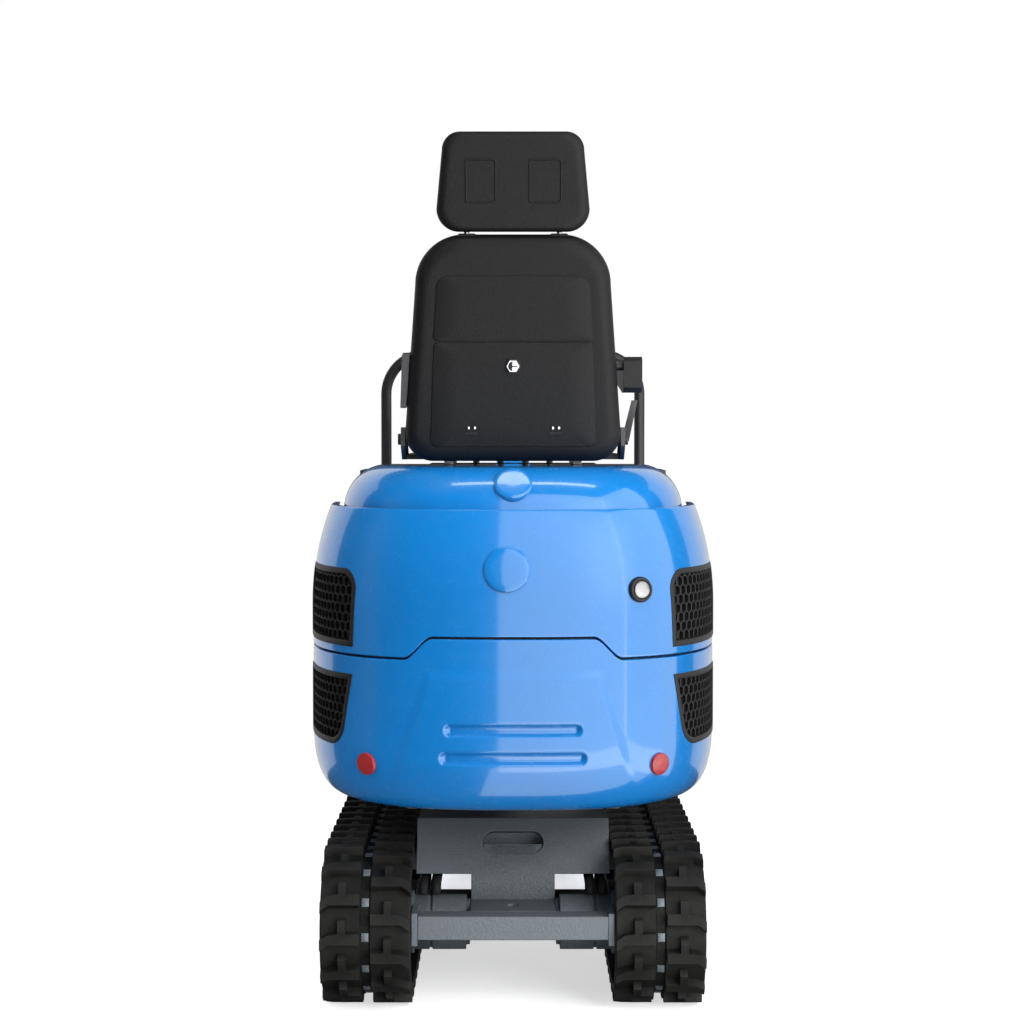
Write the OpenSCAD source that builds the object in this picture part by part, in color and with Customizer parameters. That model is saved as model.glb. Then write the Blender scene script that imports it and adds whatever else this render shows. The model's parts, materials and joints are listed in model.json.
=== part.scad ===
// Compact tracked excavator with an open operator's seat.
// Forward is +Y, the machine's right side is +X, up is +Z and the ground is z = 0.

/* [Tracks] */
// Width of one rubber track
track_w = 188; // [160:2:200]
// Width over both tracks
gauge_w = 802; // [790:2:900]
// Distance from the sprocket's centre to the idler's centre
wheelbase = 880; // [840:5:940]
// Radius of the belt's inner face round its wheels
belt_r = 130; // [124:1:134]
// Thickness of the belt without its lugs
belt_t = 20; // [16:1:24]
// Height of the lugs on the belt
lug_h = 19; // [14:1:24]
// Links in one track
links = 37; // [33:1:40]
// Teeth on a sprocket
teeth = 12; // [10:1:14]
// Radius of a travel motor's housing
motor_r = 58; // [50:1:60]

/* [Undercarriage] */
// Height of the chassis' top face
chassis_z = 375; // [366:1:384]
// Half width of the chassis' middle box
chassis_hw = 150; // [130:2:165]
// Outer radius of the slewing ring
ring_r = 210; // [195:1:220]
// Height of the slewing ring
ring_h = 49; // [44:1:56]

/* [House] */
// Half width of the rounded body at its widest
body_w = 440; // [420:2:460]
// Distance from the slewing axis to the tail
tail_y = 690; // [660:5:740]
// Front edge of the rounded body, behind the slewing axis
body_front = 185; // [170:5:200]
// Thickness of the platform's plate
plate_t = 14; // [10:1:20]
// Height of the line where hood and counterweight meet at the sides
part_z = 761; // [740:2:780]
// Rise of that line at the middle
part_rise = 44; // [20:2:60]
// Height of the hood's upper rim
rim_z = 1060; // [1040:1:1070]
// Height of the crown's top
crown_z = 1145; // [1132:1:1158]
// Squareness of the body's plan
plan_n = 2.8; // [2.4:0.1:3.4]
// Wall of the hood and the crown
skin = 12; // [9:1:15]
// Wall of the cast counterweight
cast_wall = 70; // [50:5:90]
// Height of the deck's upper face
deck_z = 640; // [615:5:655]
// Outer diameter of the guard rail's tube
rail_d = 26; // [22:1:32]
// Width of the guard rail between its tube's centres
rail_w = 632; // [588:4:644]
// Height of the guard rail's top
rail_z = 1423; // [1361:2:1461]

/* [Seat] */
// Width of the seat's back
seat_w = 462; // [430:2:480]
// Length of the seat's back
back_len = 482; // [450:2:520]
// Lean of the seat's back
back_lean = 8; // [5:1:12]
// Width of the headrest
head_w = 322; // [280:2:340]
// Height of the headrest
head_h = 208; // [180:2:230]

/* [Working arm] */
// Length of the boom between its pins
boom_len = 1500; // [1420:10:1560]
// Length of the arm between its pins
arm_len = 850; // [820:10:900]
// Distance from the bucket's pin to its teeth
bucket_len = 500; // [470:5:520]
// Width of the bucket
bucket_w = 320; // [280:10:400]
// Half width of the boom's box
boom_hw = 45; // [43:0.5:48]
// Half width of the arm's box
arm_hw = 36; // [35:0.2:36.4]
// Radius of the large pins
pin_r = 18; // [14:0.5:20]
// Radius of the cylinders' pins
eye_pin_r = 13; // [10:0.5:15]

/* [Blade] */
// Height of the dozer blade
blade_h = 230; // [200:5:250]
// Gap under the parked blade
blade_gap = 25; // [15:1:40]

/* [Fits] */
// Radial clearance of a pin in its bore
pin_c = 0.1; // [0.05:0.01:0.3]
// Side clearance between an eye and its lugs
side_c = 0.8; // [0.5:0.1:1]
// Gap between pieces that move past one another
gap = 5; // [5:0.5:8]
// Gap between rolling faces that meet
seat_c = 0.3; // [0.2:0.05:0.5]

/* [Hidden] */
$fn = 48;

// Colours
blue = [0.02, 0.30, 0.70];
grey = [0.30, 0.33, 0.35];
black = [0.06, 0.06, 0.07];
steel = [0.70, 0.71, 0.73];

// Plane vectors: first along Y, second along Z
function dir(a) = [cos(a), sin(a)];
function turn(v, a) = [v[0] * cos(a) - v[1] * sin(a), v[0] * sin(a) + v[1] * cos(a)];
function heading(v) = atan2(v[1], v[0]);
// Corner of a triangle over the points p and q, at rp from p and rq from q, left of the way p to q
function apex(p, rp, q, rq) =
    let (v = q - p, l = norm(v), a = (rp * rp - rq * rq + l * l) / (2 * l), h = sqrt(rp * rp - a * a))
    p + a * v / l + h * [-v[1], v[0]] / l;

// Track layout
track_x = (gauge_w - track_w) / 2;
track_in = gauge_w / 2 - track_w;
belt_or = belt_r + belt_t;
lug_r = belt_or + lug_h;
wheel_z = lug_r;
sprocket_y = -wheelbase / 2;
idler_y = wheelbase / 2;

// Heights of the platform's plate, clear of the slewing ring
ring_top = chassis_z + ring_h;
plate_z = [ring_top + 7, ring_top + 7 + plate_t];

// Pins of the working arm at rest
boom_a = 28;
boom_foot = [520, plate_z[1] + 159];
boom_base_pin = boom_foot + [78, -105];
boom_tip = boom_foot + boom_len * dir(boom_a);
function on_boom(u, v) = boom_foot + turn([u, v], boom_a);
boom_bend = [0.427 * boom_len, 0.159 * boom_len];
boom_eye = on_boom(0.40 * boom_len, 52);
arm_base_pin = on_boom(boom_bend[0], 365);
arm_a = 265;
horn_len = 170;
arm_eye = boom_tip + horn_len * dir(arm_a + 165);
bucket_pin = boom_tip + arm_len * dir(arm_a);
function on_arm(n, a) = bucket_pin + turn([n, a], arm_a - 270);
rocker_pin = on_arm(25, 230);
bucket_base_pin = on_arm(96, 560);
bucket_a = 210;
ear_len = 100;
bucket_ear = bucket_pin + ear_len * dir(bucket_a + 94);
rocker_len = 180;
link_len = 197;
rocker_end = apex(rocker_pin, rocker_len, bucket_ear, link_len);

// Blade pins at rest
blade_pin = [idler_y - 10, 150];
blade_base_pin = [idler_y - 60, 290];
blade_eye = [idler_y + 360, 190];
blade_y = idler_y + 404;
blade_arm_x = [152 + side_c, 176];
blade_tie = [60, 40];

// Eyes and rods
eye_r = 28;
lug_rad = 34;
eye_hw = 26;
lug_in = eye_hw + side_c;
lug_out = 42;
rocker_lug_r = 30;
neck_r = 22;
neck_len = lug_rad + 26;
bore_start = neck_len + 8;

// Ways by which the cylinders draw in from rest, and the length that leaves their rods clear of the barrel's end
boom_draw = 121;
bucket_draw = 96;
blade_draw = 56;
function rod_len(p, q, way) = norm(q - p) - bore_start - way - gap;

// The whole stands with the middle of its length over the origin
front_y = rocker_end[0] + rocker_lug_r;
shift_y = (tail_y - front_y) / 2;

module placed() {
    translate([0, shift_y, 0]) children();
}

// Draws a Y-Z outline between two distances from the middle plane
module slab(x0, x1) {
    translate([x0, 0, 0]) rotate([90, 0, 90]) linear_extrude(x1 - x0) children();
}

module both_slabs(x0, x1) {
    slab(x0, x1) children();
    slab(-x1, -x0) children();
}

module mid_slab(hw) {
    slab(-hw, hw) children();
}

// Round bar along X about a point of the Y-Z plane
module bar(p, r, x0, x1) {
    translate([x0, p[0], p[1]]) rotate([0, 90, 0]) cylinder(r = r, h = x1 - x0);
}

module mid_bar(p, r, hw) {
    bar(p, r, -hw, hw);
}

// Round bar in the middle plane from p towards the heading a
module rod_along(p, a, r, s0, s1) {
    translate([0, p[0], p[1]]) rotate([a, 0, 0]) translate([0, s0, 0]) rotate([-90, 0, 0])
        cylinder(r = r, h = s1 - s0);
}

// Outline round two circles with straight sides
function tangents(c1, r1, c2, r2) =
    let (v = c2 - c1, t = heading(v), b = acos((r1 - r2) / norm(v)))
    [c1 + r1 * dir(t + b), c2 + r2 * dir(t + b), c2 + r2 * dir(t - b), c1 + r1 * dir(t - b)];

module strap(c1, r1, c2, r2) {
    translate(c1) circle(r1);
    translate(c2) circle(r2);
    polygon(tangents(c1, r1, c2, r2));
}

module disc(c, r) {
    translate(c) circle(r);
}

// Both sides of the machine
module both_sides() {
    children();
    mirror([1, 0, 0]) children();
}

// Barrel with its base eye: the base pin at p, the rod's way along the heading a
module barrel(p, a, r, len, bore) {
    difference() {
        union() {
            mid_bar(p, eye_r, eye_hw);
            rod_along(p, a, neck_r, 0, neck_len + 1);
            rod_along(p, a, r, neck_len, len);
        }
        mid_bar(p, eye_pin_r + pin_c, eye_hw + 1);
        rod_along(p, a, bore + pin_c, bore_start, len + 1);
    }
}

// Rod with its far eye at q, drawn back along the heading a
module rod(q, a, r, len) {
    mid_bar(q, eye_r, eye_hw);
    rod_along(q, a, r, -len, 0);
}

// Plan of the rounded body: t runs from the right front round the tail to the left front
function plan_pt(t, w, l) =
    let (c = cos(t), s = sin(t))
    [w * sign(c) * pow(abs(c), 2 / plan_n), -body_front - l * pow(abs(s), 2 / plan_n)];

// How far the body's skin draws in at a height
body_z = plate_z[1];
belly_z = body_z + 155;
shoulder_z = part_z + 78;
foot_inset = 58;
rim_inset = 40;
crown_inset = 66;
crown_edge = 92;
function low_draw(z) =
    let (u = min(1, max(0, (belly_z - z) / (belly_z - body_z)))) foot_inset * (1 - sqrt(1 - pow(u, 3)));
function high_draw(z) =
    let (u = max(0, (z - shoulder_z) / (rim_z - shoulder_z))) rim_inset * pow(u, 2.2);
function crown_draw(z) =
    let (z0 = rim_z - 15, u = min(1, max(0, (z - z0) / (crown_z - z0))))
    crown_inset + crown_edge * (1 - sqrt(1 - u * u));
function body_draw(z) = low_draw(z) + high_draw(z);
body_len = tail_y - body_front;

function skin_pt(t, z, draw) =
    let (p = plan_pt(t, body_w - draw, body_len - draw)) [p[0], p[1], z];

// Plan angle at which the skin has a distance x from the middle plane, at a height
function skin_t(x, z) = acos(pow(x / (body_w - body_draw(z)), plan_n / 2));

// Stands a piece on the skin, its own +Z pointing out of the body
module on_skin(t, z) {
    d = body_draw(z);
    v = skin_pt(t + 1, z, d) - skin_pt(t - 1, z, d);
    lean = atan((body_draw(z + 2) - body_draw(z - 2)) / 4);
    translate(skin_pt(t, z, d)) rotate([0, 90 - lean, heading(v) + 90]) translate([0, 0, seat_c]) children();
}

// Height of the parting line over the body's plan
rise_a0 = 69;
rise_a1 = 75;
function part_at(t) =
    let (m = 90 - abs(90 - t)) part_z + part_rise * min(1, max(0, (m - rise_a0) / (rise_a1 - rise_a0)));

// Solid from rings of equal length, each ring an outer row followed by the inner row back
function ring_faces(n, m) = [
    for (k = [0 : m - 2]) for (i = [0 : n - 1])
        let (j = (i + 1) % n, a = k * n) each [
            [a + i, a + n + j, a + n + i],
            [a + i, a + j, a + n + j]
        ]
];
function cap_faces(n, base, up) = [
    for (i = [0 : n / 2 - 2])
        let (a = base + i, b = base + i + 1, c = base + n - 2 - i, d = base + n - 1 - i)
        each (up ? [[a, b, c], [a, c, d]] : [[a, c, b], [a, d, c]])
];

module ribbon(rings) {
    n = len(rings[0]);
    m = len(rings);
    polyhedron(
        points = [for (r = rings) each r],
        faces = concat(ring_faces(n, m), cap_faces(n, 0, false), cap_faces(n, (m - 1) * n, true))
    );
}

// Vents at the rear corners: plan angles and heights
vent_t0 = 10;
vent_t1 = 47;
vent_edge = 0.6;
vent_rim = 4;
upper_vent = [part_z + 18, part_z + 172];
lower_vent = [part_z - 191, part_z - 46];
vent_depth = 28;
grille_depth = 5;

// Values in equal steps from a up to, but not counting, b
function steps(a, b, n) = [for (i = [0 : n - 1]) a + (b - a) * i / n];
// Grid lines over a vent, close together at its edges
function vent_lines(a, b, edge, n) = concat([a], steps(a + edge, b - edge, n), [b - edge]);

// Columns of the body's plan, closer where the vents and the parting line's rise begin
half_ts = concat(
    steps(0, vent_t0, 3),
    vent_lines(vent_t0, vent_t1, vent_edge, 9),
    steps(vent_t1, rise_a0, 4),
    steps(rise_a0, rise_a1, 2),
    steps(rise_a1, 90, 4)
);
ts = concat(half_ts, [90], [for (i = [len(half_ts) - 1 : -1 : 0]) 180 - half_ts[i]]);

function in_range(v, r) = v > r[0] + 0.01 && v < r[1] - 0.01;
function pit(t, z, vent) =
    in_range(min(t, 180 - t), [vent_t0, vent_t1]) && in_range(z, vent) ? vent_depth : 0;

// Rounded wall over the plan from the row of heights low to the row high, its levels as parts of the height
module body_wall(low, high, parts, wall, vent) {
    last = len(ts) - 1;
    ribbon([
        for (f = parts)
            let (zs = [for (i = [0 : last]) low[i] + (high[i] - low[i]) * f],
                 outs = [for (i = [0 : last]) body_draw(zs[i]) + pit(ts[i], zs[i], vent)])
            concat(
                [for (i = [0 : last]) skin_pt(ts[i], zs[i], outs[i])],
                [for (i = [last : -1 : 0]) skin_pt(ts[i], zs[i], outs[i] + wall)]
            )
    ]);
}

// Patch of the body's skin between two plan angles and two heights, on one side
module skin_patch(t0, t1, z0, z1, draw0, draw1, cols, levels) {
    ribbon([
        for (k = [0 : levels])
            let (z = z0 + (z1 - z0) * k / levels, d = body_draw(z))
            concat(
                [for (i = [0 : cols]) skin_pt(t0 + (t1 - t0) * i / cols, z, d + draw0)],
                [for (i = [cols : -1 : 0]) skin_pt(t0 + (t1 - t0) * i / cols, z, d + draw1)]
            )
    ]);
}

module grille(vent) {
    skin_patch(vent_t0 + 2 * vent_edge, vent_t1 - 2 * vent_edge, vent[0] + 2 * vent_rim, vent[1] - 2 * vent_rim,
        grille_depth, vent_depth - seat_c, 12, 4);
}

// The belt's side view
module stadium(r) {
    for (y = [sprocket_y, idler_y]) disc([y, wheel_z], r);
    translate([sprocket_y, wheel_z - r]) square([wheelbase, 2 * r]);
}

// Point of the loop at a way s along the belt's outer face, h outside that face
loop_len = 2 * wheelbase + 2 * PI * belt_or;
function loop_pt(s, h) =
    let (half = loop_len / 2, q = s % loop_len, front = q < half, u = front ? q : q - half,
         a = max(0, u - wheelbase) / belt_or * 180 / PI, r = belt_or + h,
         v = [min(u, wheelbase) - wheelbase / 2, 0] + r * [sin(a), cos(a)])
    [0, wheel_z] + (front ? v : -v);

// Outline of the belt with one lug to each link, the first at the way s0
lug_w = 22;
lug_flank = 4;
function lug_outline(s0) = [
    for (i = [0 : links - 1])
        let (s = s0 + i * loop_len / links + lug_w, h = lug_w / 2) each [
            loop_pt(s - h - lug_flank, 0), loop_pt(s - h, lug_h),
            loop_pt(s + h, lug_h), loop_pt(s + h + lug_flank, 0),
            loop_pt(s + loop_len / links / 2, 0)
        ]
];
groove_hw = 11;

module belt(side) {
    x = side * track_x;
    half = track_w / 2;
    slab(x - half, x - groove_hw) difference() {
        polygon(lug_outline(loop_len / links / 2));
        stadium(belt_r);
    }
    slab(x - groove_hw, x + groove_hw) difference() {
        stadium(belt_or - 4);
        stadium(belt_r);
    }
    slab(x + groove_hw, x + half) difference() {
        polygon(lug_outline(0));
        stadium(belt_r);
    }
}

module track_left() {
    color(black) placed() belt(-1);
}

module track_right() {
    color(black) placed() belt(1);
}

// Wheels inside a belt
wheel_r = belt_r - seat_c;
sprocket_hw = 18;
hub_r = 78;

module sprockets() {
    root_r = wheel_r - 16;
    color(steel) placed() both_sides() difference() {
        slab(track_x - sprocket_hw, track_x + sprocket_hw) {
            disc([sprocket_y, wheel_z], root_r);
            for (i = [0 : teeth - 1]) translate([sprocket_y, wheel_z]) rotate(360 * i / teeth)
                polygon([[root_r - 4, -14], [wheel_r, -7], [wheel_r, 7], [root_r - 4, 14]]);
        }
        bar([sprocket_y, wheel_z], hub_r, track_x - track_w, track_x + track_w);
    }
}

motor_in = 92;
motor_step_x = 172;
motor_plate_x = [track_in - 14, track_in - 2];

module travel_motors() {
    c = [sprocket_y, wheel_z];
    color(grey) placed() both_sides() {
        bar(c, motor_r - 10, motor_in, motor_in + 8);
        bar(c, motor_r, motor_in + 8, motor_step_x);
        bar(c, motor_r - 4, motor_step_x, motor_step_x + 6);
        bar(c, motor_r, motor_step_x + 6, motor_plate_x[1]);
        bar(c, motor_r + 8, motor_plate_x[1], motor_plate_x[1] + 16);
        bar(c, hub_r, motor_plate_x[1] + 16, track_x + 42);
        bar(c, hub_r - 14, track_x + 42, track_x + 56);
    }
}

idler_hw = 40;

module idlers() {
    color(grey) placed() both_sides() translate([track_x, idler_y, wheel_z]) rotate([0, 90, 0])
        difference() {
            cylinder(r = wheel_r, h = 2 * idler_hw, center = true, $fn = 64);
            for (s = [-1, 1]) translate([0, 0, s * idler_hw]) difference() {
                cylinder(r = wheel_r - 16, h = 30, center = true, $fn = 64);
                cylinder(r = 40, h = 31, center = true);
            }
        }
}

roller_r = 46;
roller_ys = [-215, 0, 215];
roller_hw = 46;
roller_z = wheel_z - belt_r + roller_r + seat_c;

module rollers() {
    color(grey) placed() both_sides() for (y = roller_ys)
        translate([track_x, y, roller_z]) rotate([0, 90, 0]) rotate_extrude()
            polygon([
                [0, -roller_hw], [20, -roller_hw], [20, -roller_hw + 8], [roller_r, -roller_hw + 8],
                [roller_r, -14], [34, -10], [34, 10], [roller_r, 14], [roller_r, roller_hw - 8],
                [20, roller_hw - 8], [20, roller_hw], [0, roller_hw]
            ]);
}

frame_z = [148, 214];
frame_y = [sprocket_y + wheel_r + gap, idler_y - wheel_r - gap];
cheek_x = [roller_hw + seat_c, roller_hw + seat_c + 10];
plate_len = 70;
arm_half = 45;
arm_y = -frame_y[0] - plate_len - arm_half - seat_c;

module track_frames() {
    fork_y = idler_y + 45;
    color(grey) placed() both_sides() {
        slab(track_x - cheek_x[1], track_x + cheek_x[1]) translate([frame_y[0], frame_z[0]])
            square([frame_y[1] - frame_y[0], frame_z[1] - frame_z[0]]);
        for (x = [track_x + cheek_x[0], track_x - cheek_x[1]]) slab(x, x + cheek_x[1] - cheek_x[0]) {
            translate([frame_y[1] - 20, wheel_z - 22]) square([fork_y - frame_y[1] + 20, 60]);
            for (y = roller_ys) translate([y - 32, roller_z - 30]) square([64, frame_z[1] - roller_z]);
        }
        slab(motor_plate_x[0], motor_plate_x[1]) difference() {
            translate([tube_y[0], shelf_z - tube_h - 12])
                square([frame_y[0] + plate_len - tube_y[0], tube_h + 18]);
            disc([sprocket_y, wheel_z], motor_r + seat_c);
        }
        slab(motor_plate_x[1], track_x - cheek_x[1]) translate([frame_y[0], frame_z[0]])
            square([plate_len, frame_z[1] - frame_z[0]]);
        for (x = [track_x + idler_hw + seat_c, track_x - cheek_x[0]])
            bar([idler_y, wheel_z], 24, x, x + cheek_x[0] - idler_hw - seat_c);
    }
}

// Ends and underside of the chassis' box
box_y = [sprocket_y + 110, idler_y - 110];
box_z = 180;
hip_z = 262;
keel_hw = 88;
keel_z = 118;
keel_front = -20;
rear_arm_h = 54;
top_t = 16;

module chassis() {
    color(grey) placed() {
        translate([-chassis_hw, box_y[0], hip_z]) cube([2 * chassis_hw, box_y[1] - box_y[0], chassis_z - hip_z]);
        translate([-chassis_hw, keel_front, box_z]) cube([2 * chassis_hw, box_y[1] - keel_front, chassis_z - box_z]);
        translate([-keel_hw, box_y[0], keel_z]) cube([2 * keel_hw, keel_front - box_y[0] + 1, chassis_z - keel_z]);
        translate([-ring_r + 5, box_y[0] - 15, chassis_z - top_t])
            cube([2 * ring_r - 10, box_y[1] - box_y[0] + 30, top_t]);
        both_sides() {
            translate([chassis_hw - 1, arm_y - arm_half, frame_z[0] + 6])
                cube([track_x - cheek_x[1] - chassis_hw + 1, 2 * arm_half, frame_z[1] - frame_z[0] - 6]);
            translate([keel_hw - 1, -arm_y - arm_half, keel_z])
                cube([track_x - cheek_x[1] - keel_hw + 1, 2 * arm_half, rear_arm_h]);
        }
        both_slabs(128, 150) strap(blade_pin, 40, [box_y[1] - 20, 215], 34);
        both_slabs(lug_in, lug_out) strap(blade_base_pin, lug_rad, [box_y[1] - 20, 290], 40);
        mid_bar(blade_base_pin, eye_pin_r, lug_out);
        both_slabs(150, 206) disc(blade_pin, pin_r);
    }
}

tow_r = 14;
tow_t = 12;
cover_hw = track_in - 5;
tongue_hw = 90;
shelf_z = wheel_z + 42;
tube_y = [sprocket_y - 132, sprocket_y - 82];
tube_h = 50;
cover_t = 10;

module rear_cover() {
    top = [box_y[0] - 15, chassis_z];
    low = top + [-57, -112];
    back = [low[0] - 2, shelf_z];
    color(grey) placed() difference() {
        union() {
            mid_slab(cover_hw) polygon([top, top - [0, 18], low, low + [-cover_t, 3], top - [7, 0]]);
            mid_slab(tongue_hw) polygon([
                low, back - [0, tow_t], [tube_y[1], shelf_z - tow_t], [tube_y[1], shelf_z],
                back - [cover_t, 0], low + [-cover_t, 3]
            ]);
        }
        translate([0, sprocket_y - 30, shelf_z - 40]) cylinder(r = tow_r, h = 60);
        translate([0, top[0] - 29, chassis_z - 50]) rotate([63, 0, 0]) {
            for (x = [-41, 41]) translate([x, 0, 0]) cylinder(r = 25, h = 60, center = true);
            cube([82, 50, 60], center = true);
        }
    }
}

module cross_tube() {
    color(grey) placed() translate([-motor_plate_x[0], tube_y[0], shelf_z - tube_h])
        cube([2 * motor_plate_x[0], tube_y[1] - tube_y[0], tube_h]);
}

// Hoses from the travel motors to the chassis
hose_r = 11;
hose_rise = 5;
hose_bend = 16;
hose_xs = [chassis_hw + 15, chassis_hw + 42];
hose_turn = 24;

module travel_hoses() {
    z0 = wheel_z + motor_r + seat_c;
    top = z0 + hose_rise + hose_bend;
    y0 = sprocket_y + 6;
    y1 = box_y[0];
    color(black) placed() both_sides() for (x = hose_xs) translate([x, 0, 0]) {
        translate([0, y0, z0 + 1]) cylinder(r = hose_r, h = hose_rise - 1);
        translate([0, y0 + hose_bend, z0 + hose_rise]) rotate([90, 0, -90]) rotate_extrude(angle = 90)
            translate([hose_bend, 0]) circle(hose_r);
        translate([0, y0 + hose_bend, top]) rotate([-90, 0, 0]) cylinder(r = hose_r, h = y1 - y0 - hose_bend);
        translate([0, y1, top + hose_turn]) rotate([90, 0, 90]) rotate([0, 0, -90]) rotate_extrude(angle = 90)
            translate([hose_turn, 0]) circle(hose_r);
        translate([0, y1 + hose_turn, top + hose_turn])
            cylinder(r = hose_r, h = chassis_z - top_t - seat_c - top - hose_turn);
    }
}

race_r = 150;

module slew_ring() {
    color(steel) placed() translate([0, 0, chassis_z]) difference() {
        cylinder(r = ring_r, h = ring_h, $fn = 96);
        translate([0, 0, -1]) cylinder(r = race_r, h = ring_h + 2, $fn = 96);
    }
}

module blade() {
    color(blue) placed() difference() {
        union() {
            mid_slab(gauge_w / 2) difference() {
                translate([blade_y, blade_gap]) square([70, blade_h]);
                disc([blade_y + 170, blade_gap + blade_h * 0.55], 145);
            }
            both_slabs(blade_arm_x[0], blade_arm_x[1]) strap(blade_pin, 38, [blade_y - 24, 140], 46);
            both_slabs(lug_in, lug_out) strap(blade_eye, 32, [blade_y - 15, 165], 36);
            translate([-blade_arm_x[1], blade_y - 134, 110])
                cube([2 * blade_arm_x[1], blade_tie[0], blade_tie[1]]);
        }
        both_slabs(150, 180) disc(blade_pin, pin_r + pin_c);
        mid_slab(gauge_w) translate([blade_y + 70, 0]) square([200, 400]);
    }
}

blade_cyl_a = heading(blade_eye - blade_base_pin);

module blade_barrel() {
    color(black) placed() barrel(blade_base_pin, blade_cyl_a, 24, 300, 13);
}

module blade_rod() {
    color(steel) placed() rod(blade_eye, blade_cyl_a, 13, rod_len(blade_base_pin, blade_eye, blade_draw));
}

boom_foot_hw = 60;
deck_hw = body_w - 28;
deck_front = 432;

module platform() {
    ear_in = boom_foot_hw + side_c;
    ear_out = ear_in + 24;
    color(grey) placed() {
        translate([0, 0, plate_z[0]]) linear_extrude(plate_t) for (s = [-1, 1]) polygon([
            [0, deck_front - 6], [s * (deck_hw - 98), deck_front - 6], [s * (deck_hw - 4), deck_front - 100],
            [s * (deck_hw - 4), -body_front], [s * (body_w - 100), -body_front], [s * (body_w - 100), -300],
            [s * body_w / 2, -540], [0, -540]
        ]);
        difference() {
            translate([0, 0, chassis_z + 10]) cylinder(r = race_r - 0.3, h = plate_z[0] - chassis_z, $fn = 96);
            translate([0, 0, chassis_z]) cylinder(r = race_r - 40, h = plate_z[0] - chassis_z, $fn = 96);
        }
        translate([-ear_out, 330, plate_z[0]]) cube([2 * ear_out, 140, 62]);
        both_slabs(ear_in, ear_out) strap(boom_foot, 42, [400, plate_z[0] + 62], 62);
        both_slabs(lug_in, lug_out + 2) strap(boom_base_pin, lug_rad, [430, plate_z[0] + 40], 38);
        mid_bar(boom_foot, pin_r, ear_out);
        mid_bar(boom_base_pin, eye_pin_r, lug_out);
    }
}

module deck_plan(inset) {
    r = 110;
    mid = deck_hw - r;
    back = -body_front + gap;
    for (s = [-1, 1]) translate([s * mid, deck_front - r]) circle(r - inset);
    translate([-mid, back]) square([2 * mid, deck_front - back - inset]);
    translate([-deck_hw + inset, back]) square([2 * (deck_hw - inset), deck_front - back - r]);
}

module deck() {
    color(blue) placed() difference() {
        translate([0, 0, plate_z[1]]) linear_extrude(deck_z - plate_z[1]) deck_plan(0);
        translate([0, 0, plate_z[1] - 1]) linear_extrude(deck_z - plate_z[1] - 9) deck_plan(10);
        translate([-96, 330, plate_z[1] - 1]) cube([192, 200, 400]);
    }
}

// Grooves across the tail: height and half length between the round ends
grooves = [[body_z + 171, 126], [body_z + 114, 136]];
groove_r = 13;
groove_d = 14;

module counterweight() {
    low_z = plate_z[1];
    zs = concat(
        steps(low_z, lower_vent[0], 5),
        vent_lines(lower_vent[0], lower_vent[1], vent_rim, 4),
        [lower_vent[1], part_z - gap]
    );
    color(blue) placed() difference() {
        body_wall(
            [for (t = ts) low_z],
            [for (t = ts) part_at(t) - gap],
            [for (z = zs) (z - low_z) / (part_z - gap - low_z)],
            cast_wall, lower_vent
        );
        for (g = grooves) translate([0, groove_d - tail_y, g[0]]) rotate([90, 0, 0]) linear_extrude(2 * groove_d) {
            translate([-g[1], -groove_r]) square([2 * g[1], 2 * groove_r]);
            for (x = [-g[1], g[1]]) disc([x, 0], groove_r);
        }
    }
}

module lower_grilles() {
    color(black) placed() both_sides() grille(lower_vent);
}

hinge_pin = [-body_front - 30, rim_z - 43];
hinge_pin_r = 8;
box_hw = body_w - 96;
box_front = -20;
hinge_lug_x = [box_hw + 12, body_w - rim_inset + 6];
hinge_pin_x = [box_hw - 10, body_w - rim_inset - skin - 4];
cap_z = part_z + 180;
cap_x = -13;
cap_r = 46;

module hood() {
    zs = concat(
        [part_z],
        vent_lines(upper_vent[0], upper_vent[1], vent_rim, 4),
        steps(upper_vent[1], rim_z - 20, 4),
        [rim_z - 20, rim_z - 8, rim_z]
    );
    color(blue) placed() {
        body_wall(
            [for (t = ts) part_at(t)],
            [for (t = ts) rim_z],
            [for (z = zs) (z - part_z) / (rim_z - part_z)],
            skin, upper_vent
        );
        both_sides() difference() {
            translate([hinge_lug_x[0], hinge_pin[0] - 20, hinge_pin[1] - 20])
                cube([hinge_lug_x[1] - hinge_lug_x[0], 40, 36]);
            bar(hinge_pin, hinge_pin_r + pin_c, hinge_lug_x[0] - 1, hinge_pin_x[1] + 2);
        }
        translate([cap_x, -tail_y + 20, cap_z]) rotate([90, 0, 0]) cylinder(r = cap_r, h = 18);
    }
}

module upper_grilles() {
    color(black) placed() both_sides() grille(upper_vent);
}

module hood_lock() {
    lock_z = part_z + 137;
    color(steel) placed() on_skin(skin_t(257, lock_z), lock_z) cylinder(r = 26, h = 8);
}

module crown() {
    levels = 8;
    z0 = rim_z - 15;
    rings = [for (k = [0 : levels])
        let (z = z0 + (crown_z - z0) * sin(90 * k / levels))
        [for (t = ts) skin_pt(t, z, crown_draw(z))]];
    n = len(ts);
    boss_z = rim_z + 50;
    color(blue) placed() {
        polyhedron(
            points = [for (r = rings) each r],
            faces = concat(
                ring_faces(n, levels + 1),
                [[for (i = [n - 1 : -1 : 0]) i]],
                [[for (i = [0 : n - 1]) levels * n + i]]
            )
        );
        translate([0, -tail_y + crown_draw(boss_z) + 30, boss_z - 12]) rotate([78, 0, 0]) cylinder(r = 39, h = 34);
    }
}

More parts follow.
